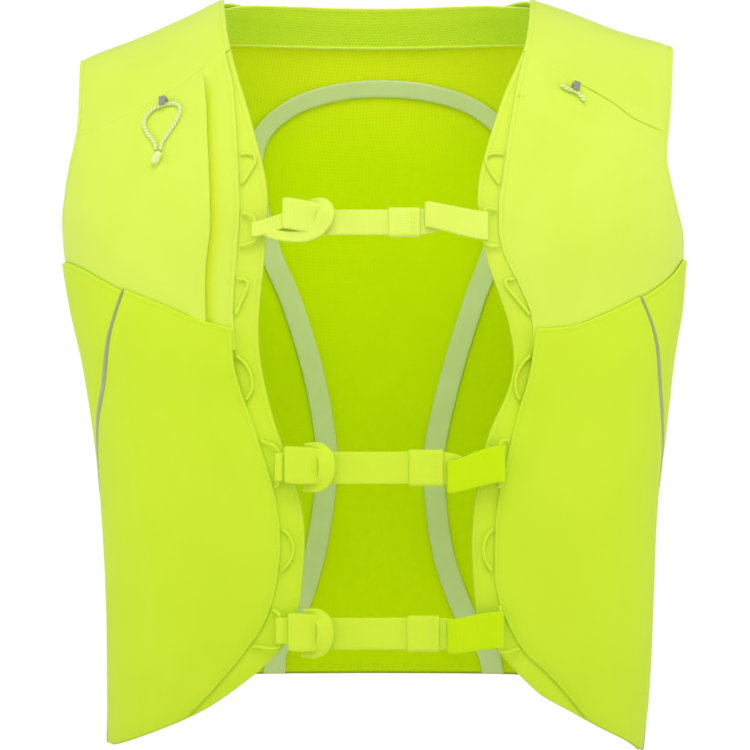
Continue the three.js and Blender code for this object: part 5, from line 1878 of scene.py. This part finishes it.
def left_fold(strap, depth, front):
    """Puffed tab on the viewer's left, and the narrow leg that turns round the cord loop behind it."""
    z, height = strap["z"], strap["height"]
    keeper_start = strap["keeper"][0]
    end, rise, tall = strap["left_tab"]
    tab_z = z + rise
    tab_right = z + rise * 0.55
    tab = webbing([
        (keeper_start + 5, front + 0.6, tab_right, tall - 3.4),
        (keeper_start + 1.6, front - 0.3, tab_right, tall - 1.6),
        (keeper_start - 2.4, front - 1.2, tab_right + 0.2, tall - 0.5),
        ((keeper_start + end) / 2, front - 1.9, (tab_z + tab_right) / 2, tall),
        (end + 2.2, front - 1.5, tab_z, tall - 0.2),
        (end, front - 0.1, tab_z, tall - 0.8),
        (end + 0.8, front + 1.3, tab_z, tall - 1.4),
        (end + 6, front + 1.7, tab_z, tall - 2),
    ])
    hook = hook_point("left", strap["loop"])
    hook_z, width = hooked_webbing("left", strap)
    leg = webbing([
        (end + 7, depth - 0.9, tab_z - 1, width + 1),
        (end - 1, depth - 1.6, (tab_z + hook_z) / 2, width + 0.4),
        *hook_bend(-1, (hook[0], hook[1], hook_z), width),
        (end + 1, depth + 1.2, (z + hook_z) / 2, width),
        (keeper_start - 1, depth, z, height),
        (keeper_start + 5.6, depth, z, height),
    ], LEG_WALL)
    return join_geometry(tab, leg)


def keeper_band(name, strap, front):
    """Band that holds the left fold: it comes from behind, crosses the front and goes behind again."""
    if name == "top":
        stations = [(x, front + out, z, width) for x, z, out, width in KNOT_ROUTE]
    else:
        shift = strap["keeper"][1] - STRAPS["middle"]["keeper"][1]
        stations = [
            (x + shift, front + out, strap["z"] + rise, width) for x, rise, out, width in KEEPER_ARC
        ]
    return flat_sweep(stations)


def right_tab(strap, depth, front):
    """Sloping tab on the viewer's right, turned round the cord loop and back behind itself."""
    z, height = strap["z"], strap["height"]
    start = strap["sleeve"][1] + strap["tab_gap"]
    low, high = strap["tab_slope"]
    left_tall, right_tall = strap["tab_heights"]
    hook = hook_point("right", strap["loop"])
    return webbing([
        (start + 9, depth - 1.2, z + low, left_tall - 3),
        (start + 3.0, depth - 1.3, z + low, left_tall - 2),
        (start + 0.95, depth - 2.2, z + low, left_tall - 1.2),
        (start + 3.0, depth - 3.3, z + low, left_tall - 0.4),
        (start + 9, front - 0.7, z + 0.8 * low + 0.2 * high, left_tall),
        (hook[0] - 9, front - 0.3, z + 0.26 * low + 0.74 * high, right_tall),
        *hook_bend(1, (hook[0], hook[1], z + high), right_tall),
        (hook[0] - 7, depth + 1.4, z + high, height - 4),
        (hook[0] - 15, depth + 0.2, z + high, height - 4),
    ])


def middle_band(strap, depth):
    """Band across the front, from the keeper through the sleeve to beneath the tab."""
    z, height = strap["z"], strap["height"]
    sleeve_end = strap["sleeve"][1]
    slope = strap["tab_slope"][0] / 2
    return webbing([
        (strap["keeper"][0] + 6, depth, z, height),
        (0, depth, z, height),
        (sleeve_end - 5, depth, z, height),
        (sleeve_end + 3, depth + 0.2, z + 0.2 * slope, height),
        (sleeve_end + 11, depth + 0.6, z + 0.6 * slope, height - 2),
    ])


def sew_sleeve(strap, depth):
    """Two rows of stitches across the sleeve, near its right end."""
    rises = np.linspace(-0.4, 0.4, 9) * strap["height"]
    face = depth - SLEEVE_DEPTH / 2 - SLEEVE_WALL / 2 - STITCH_LIFT
    for inset in SLEEVE_SEAMS:
        line = np.stack(np.broadcast_arrays(strap["sleeve"][1] - inset, face, strap["z"] + rises), 1)
        stitch_rows["straps"].append((line, np.repeat(AHEAD[None], len(rises), axis=0)))


def make_strap(name, strap):
    depth = strap_depth(strap)
    front = depth - HOOK_BEND - TAB_CLEARANCE
    # The right tabs of the lower straps take the webbing copy with painted shade.
    cloth, tab_cloth = (ELASTIC_PALE, ELASTIC_PALE) if name == "top" else (ELASTIC, ELASTIC_PAINTED_SHADE)
    pieces = {
        "fold": ("fold_left", left_fold(strap, depth, front), cloth),
        "keeper": ("keeper_left", keeper_band(name, strap, front), cloth),
        "middle": ("band", middle_band(strap, depth), cloth),
        "sleeve": ("sleeve_right", sleeve_ring(strap, depth), cloth),
        "tab": ("tab_right", right_tab(strap, depth, front), tab_cloth),
    }
    for part, (node, geometry, material) in pieces.items():
        piece = make_object(f"strap_{name}_{part}", *geometry, material)
        dress(piece, "elastic", f"strap_{name}_{node}")
    sew_sleeve(strap, depth)


for strap_name, strap_row in STRAPS.items():
    make_strap(strap_name, strap_row)

# Zip pulls

PULLER_WIDTH = 4.2
PULLER_PLATE = 1.2
PULLER_REACH = 3.4
PULLER_HEAD = 2.8
PULLER_BEVEL = 0.45


def make_puller(side):
    """Slider head with its plate, as one bevelled block standing on the cloth."""
    puller = PULLERS[side]
    origin, axes = cloth_frame(side, puller["row"], OUTER_FACE + SEAM_GAP, puller["lean"])
    block = ZIP_CORD_DIAMETER + 2 * SEAM_GAP
    face = block + PULLER_PLATE
    profile = [
        (0, 0), (PULLER_HEAD, 0), (PULLER_HEAD, face), (-PULLER_REACH, face), (-PULLER_REACH, block),
        (0, block),
    ]
    shape = bmesh.new()
    rows = []
    for across in (-PULLER_WIDTH / 2, PULLER_WIDTH / 2):
        middle = origin + axes[0] * across
        rows.append([
            shape.verts.new((middle + axes[1] * up + axes[2] * out) * MM) for up, out in profile
        ])
    shape.faces.new(rows[0][::-1])
    shape.faces.new(rows[1])
    for first in range(len(profile)):
        second = (first + 1) % len(profile)
        shape.faces.new([rows[0][first], rows[0][second], rows[1][second], rows[1][first]])
    bmesh.ops.recalc_face_normals(shape, faces=shape.faces)
    bmesh.ops.bevel(
        shape, geom=shape.edges[:], offset=PULLER_BEVEL * MM, segments=3, profile=0.5, affect="EDGES")
    mesh = bpy.data.meshes.new(f"puller_{side}")
    shape.to_mesh(mesh)
    shape.free()
    mesh.materials.append(PULLER)
    mesh.polygons.foreach_set("use_smooth", np.ones(len(mesh.polygons), bool))
    dress(add_object(f"puller_{side}", mesh), "puller", f"zip_puller_{side}")


for side_name in SIDES:
    make_puller(side_name)

# End of cord that shows by the right puller

CORD_STUB_ROUTE = [
    (111.6, -58.8), (113.3, -60.1), (115.2, -61.1), (117, -61.7), (119, -62.3), (121, -63.1),
    (122.6, -64.6), (124.2, -66.7), (125.3, -68.6),
]
CORD_STUB_CLEARANCE = 0.9


def make_cord_stub():
    stub, _path = make_cord("zip_cord_stub_right", "right", CORD_STUB_ROUTE, CORD_STUB_CLEARANCE)
    dress(stub, "cord")


make_cord_stub()

# Stitches, laid along the rows gathered from the seams


def stitch_tree():
    """Geometry tree that lays one stitch of thread at each step along its lines."""
    tree = bpy.data.node_groups.new("stitch rows", "GeometryNodeTree")
    tree.is_modifier = True
    sockets = {"Lines": "Geometry", **dict.fromkeys(STITCH, "Float"), "Thread": "Material"}
    for label, kind in sockets.items():
        tree.interface.new_socket(label, in_out="INPUT", socket_type=f"NodeSocket{kind}")
    tree.interface.new_socket("Stitches", in_out="OUTPUT", socket_type="NodeSocketGeometry")
    given = tree.nodes.new("NodeGroupInput").outputs

    def step(kind, inputs=None, **settings):
        return place_node(tree, kind, inputs, **settings).outputs[0]

    lines = step("GeometryNodeMeshToCurve", {"Mesh": given["Lines"]})
    places = step("GeometryNodeResampleCurve", {"Curve": lines, "Length": given["Pitch"]}, mode="LENGTH")
    along = step("GeometryNodeInputTangent")
    out = step("GeometryNodeInputNamedAttribute", {"Name": "out"}, data_type="FLOAT_VECTOR")
    turned = step("FunctionNodeAlignRotationToVector", {"Vector": along}, axis="X")
    level = step(
        "FunctionNodeAlignRotationToVector", {"Rotation": turned, "Vector": out},
        axis="Z", pivot_axis="X")
    ball = step("GeometryNodeMeshUVSphere", {"Segments": 8, "Rings": 4, "Radius": 0.5})
    thickness = given["Thickness"]
    size = step("ShaderNodeCombineXYZ", {0: given["Length"], 1: thickness, 2: thickness})
    stitch = step("GeometryNodeTransform", {"Geometry": ball, "Scale": size})
    laid = step(
        "GeometryNodeInstanceOnPoints", {"Points": places, "Instance": stitch, "Rotation": level})
    real = step("GeometryNodeRealizeInstances", {0: laid})
    smooth = step("GeometryNodeSetShadeSmooth", {"Geometry": real})
    threaded = step("GeometryNodeSetMaterial", {"Geometry": smooth, "Material": given["Thread"]})
    feed(tree, tree.nodes.new("NodeGroupOutput").inputs["Stitches"], threaded)
    return tree


def make_stitches(tree, name, rows, slot):
    """Piece of stitches along rows of points and normals."""
    points = np.concatenate([line for line, _outs in rows]) * MM
    outs = np.concatenate([outs for _line, outs in rows])
    edges = []
    first = 0
    for line, _outs in rows:
        edges += [(first + step, first + step + 1) for step in range(len(line) - 1)]
        first += len(line)
    mesh = bpy.data.meshes.new("stitch lines")
    mesh.from_pydata(points.tolist(), edges, [])
    mesh.attributes.new("out", "FLOAT_VECTOR", "POINT").data.foreach_set("vector", outs.ravel())
    lines = add_object("stitch lines", mesh)
    modifier = lines.modifiers.new("stitches", "NODES")
    modifier.node_group = tree
    values = {label: size * MM for label, size in STITCH.items()}
    values["Thread"] = THREAD
    for item in tree.interface.items_tree:
        if item.in_out == "INPUT" and item.name in values:
            modifier[item.identifier] = values[item.name]
    seen = lines.evaluated_get(bpy.context.evaluated_depsgraph_get())
    thread_mesh = bpy.data.meshes.new_from_object(seen)
    thread_mesh.name = name
    bpy.data.objects.remove(lines)
    dress(add_object(name, thread_mesh), slot)


STITCH_TREE = stitch_tree()
STITCH_SLOTS = {"left": "shell", "right": "shell", "back": "mesh", "straps": "elastic"}
for group_name, slot_name in STITCH_SLOTS.items():
    make_stitches(STITCH_TREE, f"stitches_{group_name}", stitch_rows[group_name], slot_name)
